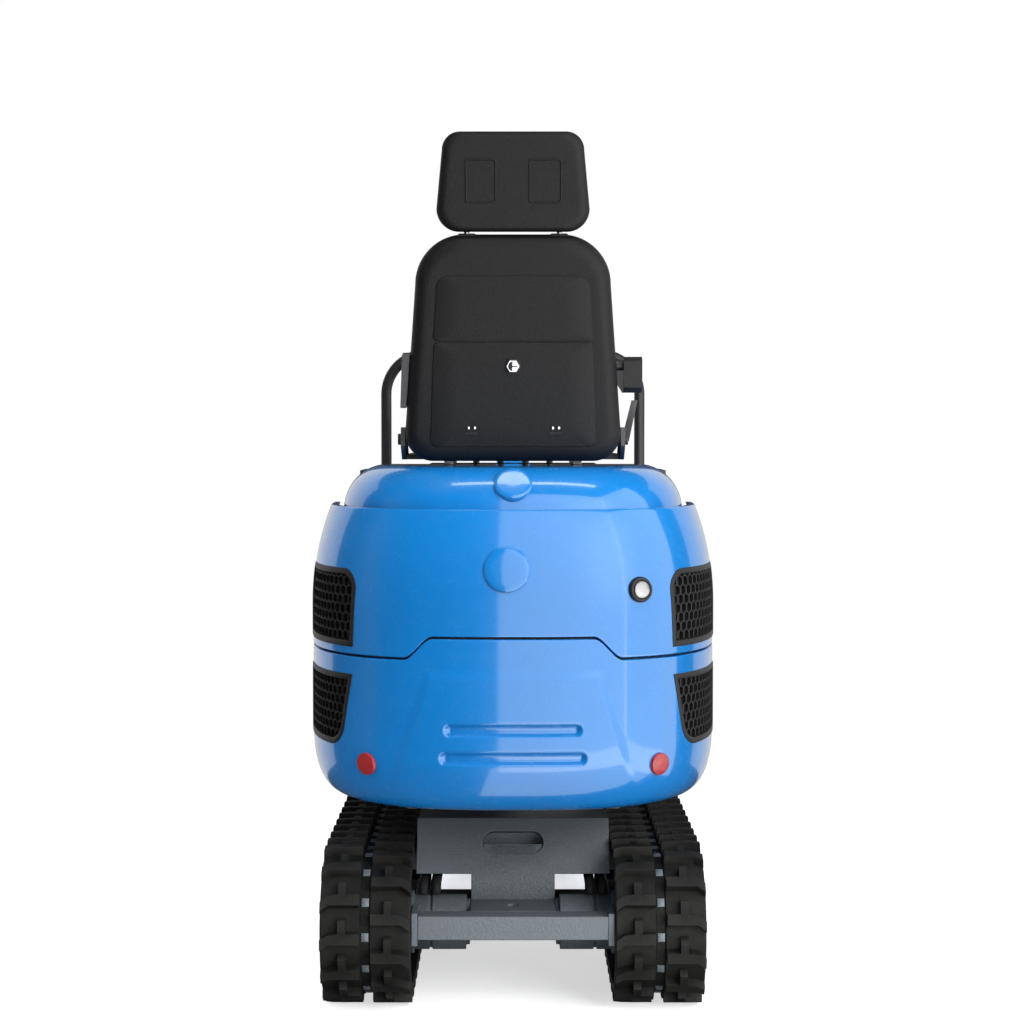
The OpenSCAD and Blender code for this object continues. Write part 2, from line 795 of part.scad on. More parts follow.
module pedestal() {
    t = 12;
    seat_hw = 190;
    back = -body_front;
    top = crown_z - 14;
    color(black) placed() {
        difference() {
            translate([-box_hw, back, deck_z]) cube([2 * box_hw, box_front - back, top - deck_z]);
            translate([-box_hw + t, back - 1, deck_z - 1])
                cube([2 * box_hw - 2 * t, box_front - back + 1 - t, top - deck_z + 1 - t]);
        }
        translate([-seat_hw, back, top - 1]) cube([2 * seat_hw, box_front - back, crown_z - top + 1]);
        both_sides() {
            translate([box_hw - 1, back + gap, deck_z])
                cube([deck_hw - 2 - box_hw, t, hinge_pin[1] - 45 - deck_z]);
            translate([box_hw - 26, hinge_pin[0] - 20, deck_z])
                cube([26, back - hinge_pin[0] + 24, rim_z - 20 - deck_z]);
            bar(hinge_pin, hinge_pin_r, hinge_pin_x[0], hinge_pin_x[1]);
        }
    }
}

module engine() {
    color(grey) placed() translate([-190, -465, plate_z[1]]) cube([380, 240, 498]);
}

reflector_z = body_z + 93;

module reflectors() {
    color([0.7, 0.05, 0.04]) placed() both_sides() on_skin(skin_t(299, reflector_z), reflector_z)
        cylinder(r = 22, h = 9);
}

// Seat: its back leans about its lower edge
seat_y = -385;
rail_h = 12;
pan_t = 10;
cushion_z = [crown_z + rail_h + pan_t, crown_z + 128];
back_z = crown_z + 10;

module seat_rails() {
    color(black) placed() for (x = [-150, 130])
        translate([x, seat_y + 67, crown_z]) cube([20, box_front - seat_y - 87, rail_h]);
}

recline_x = [seat_w / 2 + 0.5, seat_w / 2 + 10];

module seat_frame() {
    color(black) placed() {
        translate([-recline_x[1], seat_y + 64, crown_z + rail_h]) cube([2 * recline_x[1], 396, pan_t]);
        both_sides() {
            slab(recline_x[0], recline_x[1]) translate([seat_y, crown_z + rail_h]) polygon([
                [40, 0], [170, 0], [130, 30], [40, 70], [0, 70], [-8, 30]
            ]);
            bar([seat_y + 18, crown_z + rail_h + 44], 12, recline_x[1], recline_x[1] + 7);
        }
        translate([recline_x[1] - 1, seat_y + 28, crown_z + rail_h + 40]) rotate([90, 0, 0]) linear_extrude(18)
            polygon([[0, 0], [10, 0], [28, 88], [16, 88], [1, 28], [0, 26]]);
    }
}

// Rounded pad: an outline drawn at several depths, each a pair of depth and scale about the outline's middle
function arc_pts(c, r, a0, a1) = [for (i = [0 : 8]) c + r * dir(a0 + (a1 - a0) * i / 8)];
function round_outline(low_hw, low_r, top_hw, top_r, h) = concat(
    arc_pts([low_hw - low_r, low_r], low_r, -90, 0), arc_pts([top_hw - top_r, h - top_r], top_r, 0, 90),
    arc_pts([top_r - top_hw, h - top_r], top_r, 90, 180), arc_pts([low_r - low_hw, low_r], low_r, 180, 270)
);

module pad(outline, middle, layers) {
    n = len(outline);
    m = len(layers);
    polyhedron(
        points = [for (l = layers) each [for (q = outline) let (v = middle + l[1] * (q - middle)) [v[0], v[1], l[0]]]],
        faces = concat(
            ring_faces(n, m),
            [[for (i = [n - 1 : -1 : 0]) i]],
            [[for (i = [0 : n - 1]) (m - 1) * n + i]]
        )
    );
}

cushion_l = 400;

module seat_cushion() {
    h = cushion_z[1] - cushion_z[0];
    hw = seat_w / 2 - 10;
    color(black) placed() translate([0, seat_y + 63, cushion_z[0]]) pad(
        round_outline(hw, 60, hw, 70, cushion_l), [0, cushion_l / 2],
        [[0, 0.97], [10, 1], [h - 36, 1], [h - 18, 0.985], [h - 7, 0.955], [h, 0.9]]
    );
}

module leaned() {
    translate([0, seat_y, back_z]) rotate([back_lean, 0, 0]) children();
}

back_low_r = 60;
back_top_r = 104;
back_taper = 24;
back_mid = 12;
// Half width of the seat's back at a height above its lower edge
function back_hw(s) = seat_w / 2 - back_taper * (s - back_low_r) / (back_len - back_top_r - back_low_r);

module seat_back() {
    color(black) placed() leaned() translate([0, back_mid, 0]) rotate([90, 0, 0]) pad(
        round_outline(seat_w / 2, back_low_r, seat_w / 2 - back_taper, back_top_r, back_len), [0, back_len / 2],
        [
            [-50, 0.945], [-48, 0.965], [-44, 0.985], [-38, 1], [15, 1], [24, 0.993], [35, 0.97], [43, 0.94],
            [48, 0.905], [50, 0.87]
        ]
    );
}

post_x = 98;
head_gap = 6;

module headrest_posts() {
    color(steel) placed() leaned() for (s = [-1, 1]) translate([s * post_x, 12, back_len])
        cylinder(r = 6, h = head_gap);
}

module headrest() {
    color(black) placed() leaned() translate([0, back_mid, back_len + head_gap]) rotate([90, 0, 0]) pad(
        round_outline(head_w / 2, 48, head_w / 2 - 12, 38, head_h), [0, head_h / 2],
        [
            [-40, 0.8], [-38, 0.86], [-33, 0.92], [-25, 0.965], [-12, 1], [12, 1], [25, 0.975], [33, 0.945],
            [38, 0.905], [40, 0.86]
        ]
    );
}

rest_pin = [seat_y + 20, crown_z + 215];
rest_pin_r = 11;
rest_x = [seat_w / 2 + 6, seat_w / 2 + 46];

module armrest_bracket() {
    s0 = 115;
    s1 = 230;
    color(black) placed() {
        bar(rest_pin, rest_pin_r, back_hw(rest_pin[1] - back_z - 2 * rest_pin_r) + seat_c, rest_x[1] - 8);
        leaned() translate([0, 30, 0]) rotate([90, 0, 0]) linear_extrude(40) polygon([
            [-back_hw(s0) - seat_c, s0], [-back_hw(s1) - seat_c, s1], [-back_hw(s1) - 18, s1], [-back_hw(s0) - 14, s0]
        ]);
    }
}

module armrest() {
    color(black) placed() difference() {
        slab(rest_x[0], rest_x[1]) translate(rest_pin) polygon([
            [-32, -48], [-20, -58], [40, -58], [300, -30], [318, -20], [318, 6], [306, 18], [-20, 18], [-32, 8]
        ]);
        bar(rest_pin, rest_pin_r + pin_c, rest_x[0] - 1, rest_x[1] + 1);
    }
}

rail_y = 330;

module guard_rail() {
    r = rail_d / 2;
    bend = 100;
    top = rail_z - r;
    color(black) placed() translate([0, rail_y, 0]) {
        both_sides() {
            translate([rail_w / 2, 0, deck_z]) cylinder(r = r, h = top - bend - deck_z);
            translate([rail_w / 2 - bend, 0, top - bend]) rotate([90, 0, 0]) rotate_extrude(angle = 90)
                translate([bend, 0]) circle(r);
        }
        translate([-rail_w / 2 + bend, 0, top]) rotate([0, 90, 0]) cylinder(r = r, h = rail_w - 2 * bend);
    }
}

stand_h = 400;

module control_stand() {
    color(black) placed() mid_slab(130) translate([190, deck_z]) polygon([
        [0, 0], [110, 0], [110, stand_h - 110], [82, stand_h], [14, stand_h], [0, stand_h - 22]
    ]);
}

module control_levers() {
    color(steel) placed() for (x = [-90, -30, 30, 90]) translate([x, 245, deck_z + stand_h]) {
        cylinder(r = 8, h = abs(x) > 60 ? 150 : 190);
        translate([0, 0, abs(x) > 60 ? 160 : 195]) sphere(r = 22);
    }
}

// Working arm
boom_bend_pt = on_boom(boom_bend[0], boom_bend[1]);
bend_r = 95;
box_end = on_boom(boom_len - 190, 40);
box_end_r = 58;
tip_in = arm_hw + 2;
tip_out = tip_in + 16;

lift_eye = on_boom(boom_bend[0] + 60, 78);
lift_r = 14;
lift_hw = 10;
lift_plate_r = 30;

module lifting_eye() {
    flank = tangents(boom_bend_pt, bend_r, box_end, box_end_r);
    a = heading(flank[2] - flank[3]);
    color(blue) placed() difference() {
        mid_slab(lift_hw) difference() {
            union() {
                disc(lift_eye, lift_plate_r);
                translate(lift_eye) rotate(a) translate([-lift_plate_r, 0]) square([2 * lift_plate_r, 120]);
            }
            strap(boom_bend_pt, bend_r, box_end, box_end_r);
            translate(boom_bend_pt) circle(bend_r + 0.01);
        }
        mid_bar(lift_eye, lift_r, lift_hw + 1);
    }
}

module boom() {
    c = boom_bend_pt;
    color(blue) placed() difference() {
        union() {
            mid_slab(boom_hw) {
                strap(boom_foot, 42, c, bend_r);
                strap(c, bend_r, box_end, box_end_r);
            }
            mid_bar(boom_foot, 47, boom_foot_hw);
            both_slabs(tip_in, tip_out) strap(on_boom(boom_len - 330, 78), 66, boom_tip, 46);
            both_slabs(lug_in, lug_out) strap(boom_eye, lug_rad, on_boom(0.40 * boom_len + 20, 150), 60);
            both_slabs(lug_in, lug_out) strap(arm_base_pin, lug_rad, on_boom(boom_bend[0], 290), 60);
            mid_bar(arm_base_pin, eye_pin_r, lug_out);
            bar(boom_tip, pin_r, -tip_out, tip_out);
        }
        mid_bar(boom_foot, pin_r + pin_c, boom_foot_hw + 1);
    }
}

boom_cyl_a = heading(boom_eye - boom_base_pin);

module boom_barrel() {
    color(black) placed() barrel(boom_base_pin, boom_cyl_a, 30, 430, 16);
}

module boom_rod() {
    color(steel) placed() rod(boom_eye, boom_cyl_a, 16, rod_len(boom_base_pin, boom_eye, boom_draw));
}

module arm() {
    color(blue) placed() difference() {
        union() {
            mid_slab(arm_hw) {
                strap(boom_tip, 48, on_arm(0, 600), 56);
                strap(on_arm(0, 600), 56, bucket_pin, 34);
            }
            both_slabs(lug_in, arm_hw) strap(boom_tip, 48, arm_eye, lug_rad);
            both_slabs(lug_in, arm_hw) strap(bucket_base_pin, lug_rad, on_arm(20, 560), 50);
            mid_bar(bucket_base_pin, eye_pin_r, arm_hw);
            bar(rocker_pin, pin_r, -52, 52);
        }
        mid_bar(boom_tip, pin_r + pin_c, arm_hw + 1);
        mid_bar(bucket_pin, pin_r + pin_c, arm_hw + 1);
    }
}

arm_cyl_a = heading(arm_eye - arm_base_pin);

module arm_barrel() {
    color(black) placed() barrel(arm_base_pin, arm_cyl_a, 25, 0.63 * norm(arm_eye - arm_base_pin), 15);
}

module arm_rod() {
    color(steel) placed() rod(arm_eye, arm_cyl_a, 15, 0.69 * norm(arm_eye - arm_base_pin));
}

bucket_cyl_a = heading(rocker_end - bucket_base_pin);

module bucket_barrel() {
    color(black) placed() barrel(bucket_base_pin, bucket_cyl_a, 24, 310, 13);
}

module bucket_rod() {
    color(steel) placed() rod(rocker_end, bucket_cyl_a, 13, rod_len(bucket_base_pin, rocker_end, bucket_draw));
}

rocker_in = arm_hw + 4;
rocker_out = rocker_in + 10;

module bucket_rocker() {
    color(grey) placed() difference() {
        both_slabs(rocker_in, rocker_out) strap(rocker_pin, rocker_lug_r, rocker_end, rocker_lug_r);
        bar(rocker_pin, pin_r + pin_c, -60, 60);
    }
}

// The link bows away from the bucket's pin
link_bow = 44;
link_waist = 22;

module bucket_link() {
    way = bucket_ear - rocker_end;
    elbow = (rocker_end + bucket_ear) / 2 + link_bow * [-way[1], way[0]] / norm(way);
    color(grey) placed() both_slabs(28, rocker_in - side_c) {
        strap(rocker_end, rocker_lug_r, elbow, link_waist);
        strap(elbow, link_waist, bucket_ear, rocker_lug_r);
    }
}

// Bucket outline in its own frame: s towards the teeth, t towards the back
function on_bucket(s, t) = bucket_pin + turn([s, t], bucket_a);
lip_s = bucket_len - 60;
bucket_t = 8;
bucket_side = [
    on_bucket(lip_s, 0), on_bucket(lip_s - 60, 130), on_bucket(lip_s - 130, 195), on_bucket(lip_s - 230, 215),
    on_bucket(lip_s - 320, 180), on_bucket(90, 120), on_bucket(70, 30), on_bucket(100, 0)
];
bucket_inner = [
    on_bucket(lip_s + 40, -8), on_bucket(lip_s - 10, 0), on_bucket(lip_s - 68, 126), on_bucket(lip_s - 133, 187),
    on_bucket(lip_s - 230, 206), on_bucket(lip_s - 316, 172), on_bucket(98, 115), on_bucket(79, 28),
    on_bucket(90, -8)
];

module bucket() {
    hw = bucket_w / 2;
    color(blue) placed() difference() {
        union() {
            mid_slab(hw) difference() {
                polygon(bucket_side);
                polygon(bucket_inner);
            }
            both_slabs(hw - bucket_t, hw) polygon(bucket_side);
            both_slabs(rocker_in, rocker_in + 14) {
                strap(bucket_pin, 36, bucket_ear, 32);
                strap(bucket_pin, 36, on_bucket(80, 60), 40);
                strap(bucket_ear, 32, on_bucket(90, 90), 36);
            }
            bar(bucket_pin, pin_r, -rocker_in - 14, rocker_in + 14);
        }
        mid_slab(hw - bucket_t) polygon(bucket_inner);
    }
}

module bucket_teeth() {
    n = 4;
    step = (bucket_w - 60) / (n - 1);
    color(steel) placed() for (i = [0 : n - 1]) slab(-bucket_w / 2 + 10 + i * step, -bucket_w / 2 + 50 + i * step)
        polygon([on_bucket(lip_s, 0), on_bucket(lip_s + 60, 2), on_bucket(lip_s - 10, 22)]);
}

chassis();
rear_cover();
cross_tube();
track_frames();
track_left();
track_right();
sprockets();
travel_motors();
travel_hoses();
idlers();
rollers();
slew_ring();
blade();
blade_barrel();
blade_rod();
platform();
deck();
counterweight();
crown();
pedestal();
engine();
lower_grilles();
reflectors();
seat_rails();
seat_frame();
seat_cushion();
seat_back();
headrest();
headrest_posts();
armrest_bracket();
guard_rail();
control_stand();
control_levers();
hood();
upper_grilles();
hood_lock();
armrest();
boom();
lifting_eye();
boom_barrel();
boom_rod();
arm();
arm_barrel();
arm_rod();
bucket();
bucket_teeth();
bucket_barrel();
bucket_rod();
bucket_rocker();
bucket_link();
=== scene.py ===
"""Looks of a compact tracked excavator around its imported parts. Metres, +Y forward, +Z up."""

import json
import math

import bmesh
import bpy
import numpy as np
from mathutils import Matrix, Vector

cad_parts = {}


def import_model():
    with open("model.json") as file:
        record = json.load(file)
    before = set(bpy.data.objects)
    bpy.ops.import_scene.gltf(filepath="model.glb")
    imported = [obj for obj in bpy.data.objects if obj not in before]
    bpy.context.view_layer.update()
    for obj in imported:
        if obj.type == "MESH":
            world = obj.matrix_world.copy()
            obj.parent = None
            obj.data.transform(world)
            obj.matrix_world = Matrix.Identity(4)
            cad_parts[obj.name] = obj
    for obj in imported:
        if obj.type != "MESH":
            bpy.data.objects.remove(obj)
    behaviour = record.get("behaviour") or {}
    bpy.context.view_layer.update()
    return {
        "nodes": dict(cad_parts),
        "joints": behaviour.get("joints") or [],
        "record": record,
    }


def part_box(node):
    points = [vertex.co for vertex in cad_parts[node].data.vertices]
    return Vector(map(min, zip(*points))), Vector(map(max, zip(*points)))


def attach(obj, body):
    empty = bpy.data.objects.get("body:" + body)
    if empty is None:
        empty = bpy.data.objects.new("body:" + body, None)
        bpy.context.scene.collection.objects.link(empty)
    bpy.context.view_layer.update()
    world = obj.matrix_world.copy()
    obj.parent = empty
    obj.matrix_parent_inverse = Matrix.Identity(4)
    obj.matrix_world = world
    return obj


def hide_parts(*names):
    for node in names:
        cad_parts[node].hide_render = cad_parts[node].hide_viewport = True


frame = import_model()
nodes = frame["nodes"]
joints = {j["name"]: j for j in frame["joints"]}
SLEW_Y = joints["slew"]["pos_m"][1]


# Node trees

def material(name):
    """A new material with its node tree, its shader and its object coordinates."""
    mat = bpy.data.materials.new(name)
    mat.use_nodes = True
    tree = mat.node_tree
    shader = tree.nodes["Principled BSDF"]
    coords = tree.nodes.new("ShaderNodeTexCoord").outputs["Object"]
    return mat, tree, shader, coords


def noise(tree, coords, scale, detail=4.0, rough=0.55):
    node = tree.nodes.new("ShaderNodeTexNoise")
    node.inputs["Scale"].default_value = scale
    node.inputs["Detail"].default_value = detail
    node.inputs["Roughness"].default_value = rough
    tree.links.new(coords, node.inputs["Vector"])
    return node.outputs["Fac"]


def cells(tree, coords, scale):
    node = tree.nodes.new("ShaderNodeTexVoronoi")
    node.inputs["Scale"].default_value = scale
    tree.links.new(coords, node.inputs["Vector"])
    return node.outputs["Distance"]


def span(tree, value, low, high, to_low, to_high):
    """Maps a value from one range to another, held at its ends."""
    node = tree.nodes.new("ShaderNodeMapRange")
    for key, number in zip(("From Min", "From Max", "To Min", "To Max"), (low, high, to_low, to_high)):
        node.inputs[key].default_value = number
    tree.links.new(value, node.inputs["Value"])
    return node.outputs["Result"]


def mixed(tree, factor, a, b):
    """Colour between a and b; each is a colour or the output of a node."""
    node = tree.nodes.new("ShaderNodeMix")
    node.data_type = "RGBA"
    tree.links.new(factor, node.inputs["Factor"])
    for key, colour in (("A", a), ("B", b)):
        socket = [s for s in node.inputs if s.name == key and s.type == "RGBA"][0]
        if isinstance(colour, tuple):
            socket.default_value = (*colour, 1.0)
        else:
            tree.links.new(colour, socket)
    return [s for s in node.outputs if s.type == "RGBA"][0]


def bumps(tree, shader, layers):
    """Stacks bumps, each a height output with its strength and distance."""
    last = None
    for height, strength, distance in layers:
        node = tree.nodes.new("ShaderNodeBump")
        node.inputs["Strength"].default_value = strength
        node.inputs["Distance"].default_value = distance
        tree.links.new(height, node.inputs["Height"])
        if last is not None:
            tree.links.new(last, node.inputs["Normal"])
        last = node.outputs["Normal"]
    tree.links.new(last, shader.inputs["Normal"])


def edges(tree, low=0.52, high=0.6):
    """Grows from 0 to 1 on convex edges."""
    geometry = tree.nodes.new("ShaderNodeNewGeometry")
    return span(tree, geometry.outputs["Pointiness"], low, high, 0.0, 1.0)


# Materials

def shade(colour, factor):
    return tuple(factor * c for c in colour)


def gloss_paint(name, colour, edge_highlight):
    mat, tree, shader, coords = material(name)
    cloud = span(tree, noise(tree, coords, 3.0), 0.3, 0.7, 0.0, 1.0)
    base = mixed(tree, cloud, shade(colour, 0.9), colour)
    # Convex edges take a lighter blue: a painted highlight.
    tree.links.new(mixed(tree, edges(tree, 0.53, 0.66), base, edge_highlight), shader.inputs["Base Color"])
    rough = span(tree, noise(tree, coords, 40.0), 0.3, 0.7, 0.2, 0.3)
    tree.links.new(rough, shader.inputs["Roughness"])
    shader.inputs["Coat Weight"].default_value = 1.0
    shader.inputs["Coat Roughness"].default_value = 0.06
    shader.inputs["Coat IOR"].default_value = 1.6
    bumps(tree, shader, [(noise(tree, coords, 900.0, 1.0), 0.03, 0.0004)])
    return mat


def hammered_paint(name, colour):
    mat, tree, shader, coords = material(name)
    speckle = span(tree, noise(tree, coords, 420.0, 2.0), 0.35, 0.65, 0.0, 1.0)
    base = mixed(tree, speckle, shade(colour, 0.72), shade(colour, 1.35))
    # Convex edges take a lighter copy of the grey: a painted highlight.
    lit_edges = mixed(tree, edges(tree), base, shade(colour, 2.0))
    tree.links.new(lit_edges, shader.inputs["Base Color"])
    tree.links.new(span(tree, speckle, 0.0, 1.0, 0.36, 0.5), shader.inputs["Roughness"])
    shader.inputs["Metallic"].default_value = 0.25
    dents = noise(tree, coords, 240.0, 2.0)
    pits = cells(tree, coords, 210.0)
    bumps(tree, shader, [(dents, 0.5, 0.0014), (pits, 0.22, 0.0009)])
    return mat


def satin_paint(name, colour):
    mat, tree, shader, coords = material(name)
    cloud = noise(tree, coords, 18.0)
    base = mixed(tree, cloud, shade(colour, 0.8), shade(colour, 1.2))
    tree.links.new(mixed(tree, edges(tree), base, (0.11, 0.11, 0.115)), shader.inputs["Base Color"])
    tree.links.new(span(tree, noise(tree, coords, 70.0), 0.3, 0.7, 0.3, 0.45), shader.inputs["Roughness"])
    bumps(tree, shader, [(noise(tree, coords, 700.0, 2.0), 0.12, 0.0005)])
    return mat


def rubber(name, colour, dust):
    mat, tree, shader, coords = material(name)
    film = span(tree, noise(tree, coords, 22.0, 6.0, 0.7), 0.45, 0.8, 0.0, 0.6)
    base = mixed(tree, film, colour, dust)
    tree.links.new(mixed(tree, edges(tree, 0.53, 0.65), base, dust), shader.inputs["Base Color"])
    tree.links.new(span(tree, noise(tree, coords, 120.0), 0.3, 0.7, 0.55, 0.75), shader.inputs["Roughness"])
    shader.inputs["Specular IOR Level"].default_value = 0.3
    fine = noise(tree, coords, 600.0, 3.0)
    coarse = noise(tree, coords, 60.0)
    bumps(tree, shader, [(fine, 0.25, 0.0008), (coarse, 0.1, 0.001)])
    return mat


def grained(name, colour, grain, low_rough, high_rough):
    """Moulded plastic or vinyl with a pebbled grain; grain is the cells' count per metre."""
    mat, tree, shader, coords = material(name)
    pebble = cells(tree, coords, grain)
    cloud = noise(tree, coords, 9.0)
    base = mixed(tree, cloud, shade(colour, 0.85), shade(colour, 1.15))
    valley = span(tree, pebble, 0.0, 0.75, 0.0, 1.0)
    tree.links.new(mixed(tree, valley, shade(colour, 1.25), base), shader.inputs["Base Color"])
    tree.links.new(span(tree, pebble, 0.0, 0.8, low_rough, high_rough), shader.inputs["Roughness"])
    shader.inputs["Specular IOR Level"].default_value = 0.36
    bumps(tree, shader, [(pebble, 0.35, 0.0012), (noise(tree, coords, 2.2 * grain, 2.0), 0.15, 0.0005)])
    return mat


def metal(name, colour, rough, streak):
    """Bare metal; streak stretches its marks along X."""
    mat, tree, shader, coords = material(name)
    mapping = tree.nodes.new("ShaderNodeMapping")
    mapping.inputs["Scale"].default_value = (1.0 / streak, 1.0, 1.0)
    tree.links.new(coords, mapping.inputs["Vector"])
    marks = noise(tree, mapping.outputs["Vector"], 260.0, 3.0)
    base = mixed(tree, marks, shade(colour, 0.82), colour)
    tree.links.new(base, shader.inputs["Base Color"])
    tree.links.new(span(tree, marks, 0.3, 0.7, 0.7 * rough, 1.4 * rough), shader.inputs["Roughness"])
    shader.inputs["Metallic"].default_value = 1.0
    bumps(tree, shader, [(marks, 0.05, 0.0003)])
    return mat


def reflector_lens(name, colour):
    mat, tree, shader, coords = material(name)
    prism = cells(tree, coords, 330.0)
    # The prism cells' centres take a lighter red: painted glints.
    base = mixed(tree, span(tree, prism, 0.0, 0.6, 0.0, 1.0), shade(colour, 1.4), colour)
    tree.links.new(base, shader.inputs["Base Color"])
    tree.links.new(span(tree, prism, 0.0, 0.7, 0.1, 0.35), shader.inputs["Roughness"])
    shader.inputs["Coat Weight"].default_value = 0.6
    bumps(tree, shader, [(prism, 0.5, 0.0015)])
    return mat


BLUE = (0.0, 0.20, 0.60)
GREY = (0.085, 0.098, 0.108)
MATERIALS = {
    # The third colour is the lighter blue of the painted highlight on convex edges.
    "blue": gloss_paint("blue_paint", BLUE, (0.06, 0.30, 0.72)),
    "grey": hammered_paint("grey_hammered", GREY),
    "black_paint": satin_paint("black_satin", (0.018, 0.018, 0.02)),
    "rubber": rubber("track_rubber", (0.006, 0.006, 0.0055), (0.02, 0.0195, 0.018)),
    "hose": rubber("hose_rubber", (0.010, 0.010, 0.011), (0.03, 0.03, 0.03)),
    "seat": grained("seat_vinyl", (0.006, 0.006, 0.0064), 520.0, 0.44, 0.64),
    "plastic": grained("black_plastic", (0.014, 0.014, 0.015), 900.0, 0.34, 0.5),
    "steel": metal("worn_steel", (0.5, 0.5, 0.51), 0.4, 3.0),
    "chrome": metal("chrome", (0.82, 0.83, 0.85), 0.08, 6.0),
    "reflector": reflector_lens("reflector_red", (0.34, 0.018, 0.02)),
    "engine": satin_paint("engine_paint", (0.07, 0.07, 0.075)),
}
MATERIALS["blue_cast"] = MATERIALS["blue"]


# Mesh helpers

def finish_piece(obj, slot, body, *replaced):
    """Gives a piece its finish and its body, and hides the nodes that it stands for."""
    obj.data.materials.append(MATERIALS[slot])
    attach(obj, body)
    if replaced:
        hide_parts(*replaced)
    return obj


def mesh_object(name, verts, faces, sharp_deg=40.0):
    mesh = bpy.data.meshes.new(name)
    mesh.from_pydata([tuple(v) for v in verts], [], [tuple(int(i) for i in f) for f in faces])
    bm = bmesh.new()
    bm.from_mesh(mesh)
    bmesh.ops.remove_doubles(bm, verts=bm.verts, dist=1e-6)
    bmesh.ops.recalc_face_normals(bm, faces=bm.faces)
    bm.to_mesh(mesh)
    bm.free()
    for polygon in mesh.polygons:
        polygon.use_smooth = True
    mesh.set_sharp_from_angle(angle=math.radians(sharp_deg))
    obj = bpy.data.objects.new(name, mesh)
    bpy.context.scene.collection.objects.link(obj)
    return obj


class Parts:
    """Collects vertices and faces of many small forms into one mesh."""

    def __init__(self):
        self.verts = []
        self.faces = []

    def add(self, verts, faces):
        base = len(self.verts)
        self.verts.extend(np.asarray(verts, float).reshape(-1, 3).tolist())
        self.faces.extend([[base + i for i in face] for face in faces])

    def piece(self, name, sharp_deg=40.0):
        return mesh_object(name, self.verts, self.faces, sharp_deg)


def grid_faces(rows, cols, wrap=False):
    """Quads of a grid whose points run row by row; wrap joins each row's ends."""
    faces = []
    for r in range(rows - 1):
        for c in range(cols if wrap else cols - 1):
            d = (c + 1) % cols
            faces.append((r * cols + c, r * cols + d, (r + 1) * cols + d, (r + 1) * cols + c))
    return faces


def ring_faces(rings, count, first=True):
    """Quads between closed rings of so many points, with a cap on the last ring and on the first."""
    faces = grid_faces(rings, count, wrap=True)
    if first:
        faces.append(tuple(range(count)))
    faces.append(tuple(range((rings - 1) * count, rings * count)))
    return faces


def lathe(profile, sides, place):
    """Turned form: profile holds (radius, height) pairs, place maps local points to the frame."""
    angles = np.linspace(0, 2 * math.pi, sides, endpoint=False)
    points = [(r * math.cos(a), r * math.sin(a), h) for r, h in profile for a in angles]
    return [place(p) for p in points], ring_faces(len(profile), sides)


def facing(origin, out, up=(0, 0, 1)):
    """Placer whose local Z points out of a surface at origin."""
    z = Vector(out).normalized()
    x = Vector(up).cross(z)
    x = x.normalized() if x.length > 1e-6 else Vector((1, 0, 0))
    y = z.cross(x)
    base = Vector(origin)
    return lambda p: base + x * p[0] + y * p[1] + z * p[2]


def upright(origin):
    """Placer whose local Z points up."""
    return facing(origin, (0, 0, 1), (0, 1, 0))


def middle_of(node):
    """Middle of a node's box."""
    lo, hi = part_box(node)
    return (lo + hi) / 2


def rounded_rim(radius, height, edge, steps=4, start=0.0):
    """Profile of a disc with a rounded upper edge."""
    turn = np.linspace(0, math.pi / 2, steps + 1)
    rim = [(radius - edge + edge * math.cos(a), height - edge + edge * math.sin(a)) for a in turn]
    return [(radius, start), *rim]


def hex_bolt(parts, place, size, height):
    """Hexagon head on a washer; size is the width across the corners' circle."""
    washer = rounded_rim(0.68 * size, 0.18 * height, 0.1 * height, 2)
    parts.add(*lathe(washer, 20, place))
    head = [(0.5 * size, 0.0), (0.5 * size, 0.86 * height), (0.42 * size, height)]
    parts.add(*lathe(head, 6, place))


def smooth_step(x):
    x = np.clip(x, 0.0, 1.0)
    return x * x * (3.0 - 2.0 * x)


# The rounded body's skin

hood_lo, hood_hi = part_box("hood")
cast_lo, cast_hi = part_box("counterweight")
PLAN_N = 2.8
PART_GAP = 0.005
BODY_W = cast_hi.x
TAIL_Y = cast_lo.y
FRONT_Y = cast_hi.y
FOOT_Z = cast_lo.z
PART_Z = hood_lo.z
RIM_Z = hood_hi.z
PART_RISE = cast_hi.z + PART_GAP - PART_Z
CROWN_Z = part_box("crown")[1].z
CROWN_FOOT_Z = RIM_Z - 0.015
BELLY_Z = FOOT_Z + 0.155
SHOULDER_Z = PART_Z + 0.078
FOOT_INSET, RIM_INSET, CROWN_INSET, CROWN_EDGE = 0.058, 0.040, 0.066, 0.092
RISE_X = (0.163, 0.224)


def body_draw(z):
    """How far the skin draws in at a height."""
    low = np.clip((BELLY_Z - z) / (BELLY_Z - FOOT_Z), 0.0, 1.0)
    high = np.clip((z - SHOULDER_Z) / (RIM_Z - SHOULDER_Z), 0.0, None)
    return FOOT_INSET * (1.0 - np.sqrt(1.0 - low ** 3)) + RIM_INSET * high ** 2.2


def crown_draw(z):
    u = np.clip((z - CROWN_FOOT_Z) / (CROWN_Z - CROWN_FOOT_Z), 0.0, 1.0)
    return CROWN_INSET + CROWN_EDGE * (1.0 - np.sqrt(1.0 - u * u))


def plan(t, draw):
    """Plan point at the angle t, from the right front over the tail to the left front."""
    c, s = np.cos(t), np.sin(t)
    x = (BODY_W - draw) * np.sign(c) * np.abs(c) ** (2 / PLAN_N)
    y = FRONT_Y - (FRONT_Y - TAIL_Y - draw) * np.abs(s) ** (2 / PLAN_N)
    return x, y


def skin(t, z, depth, draw=body_draw):
    """Points at a depth under the skin."""
    x, y = plan(t, draw(z) + depth)
    return np.stack([x, y, z + 0 * x], -1)


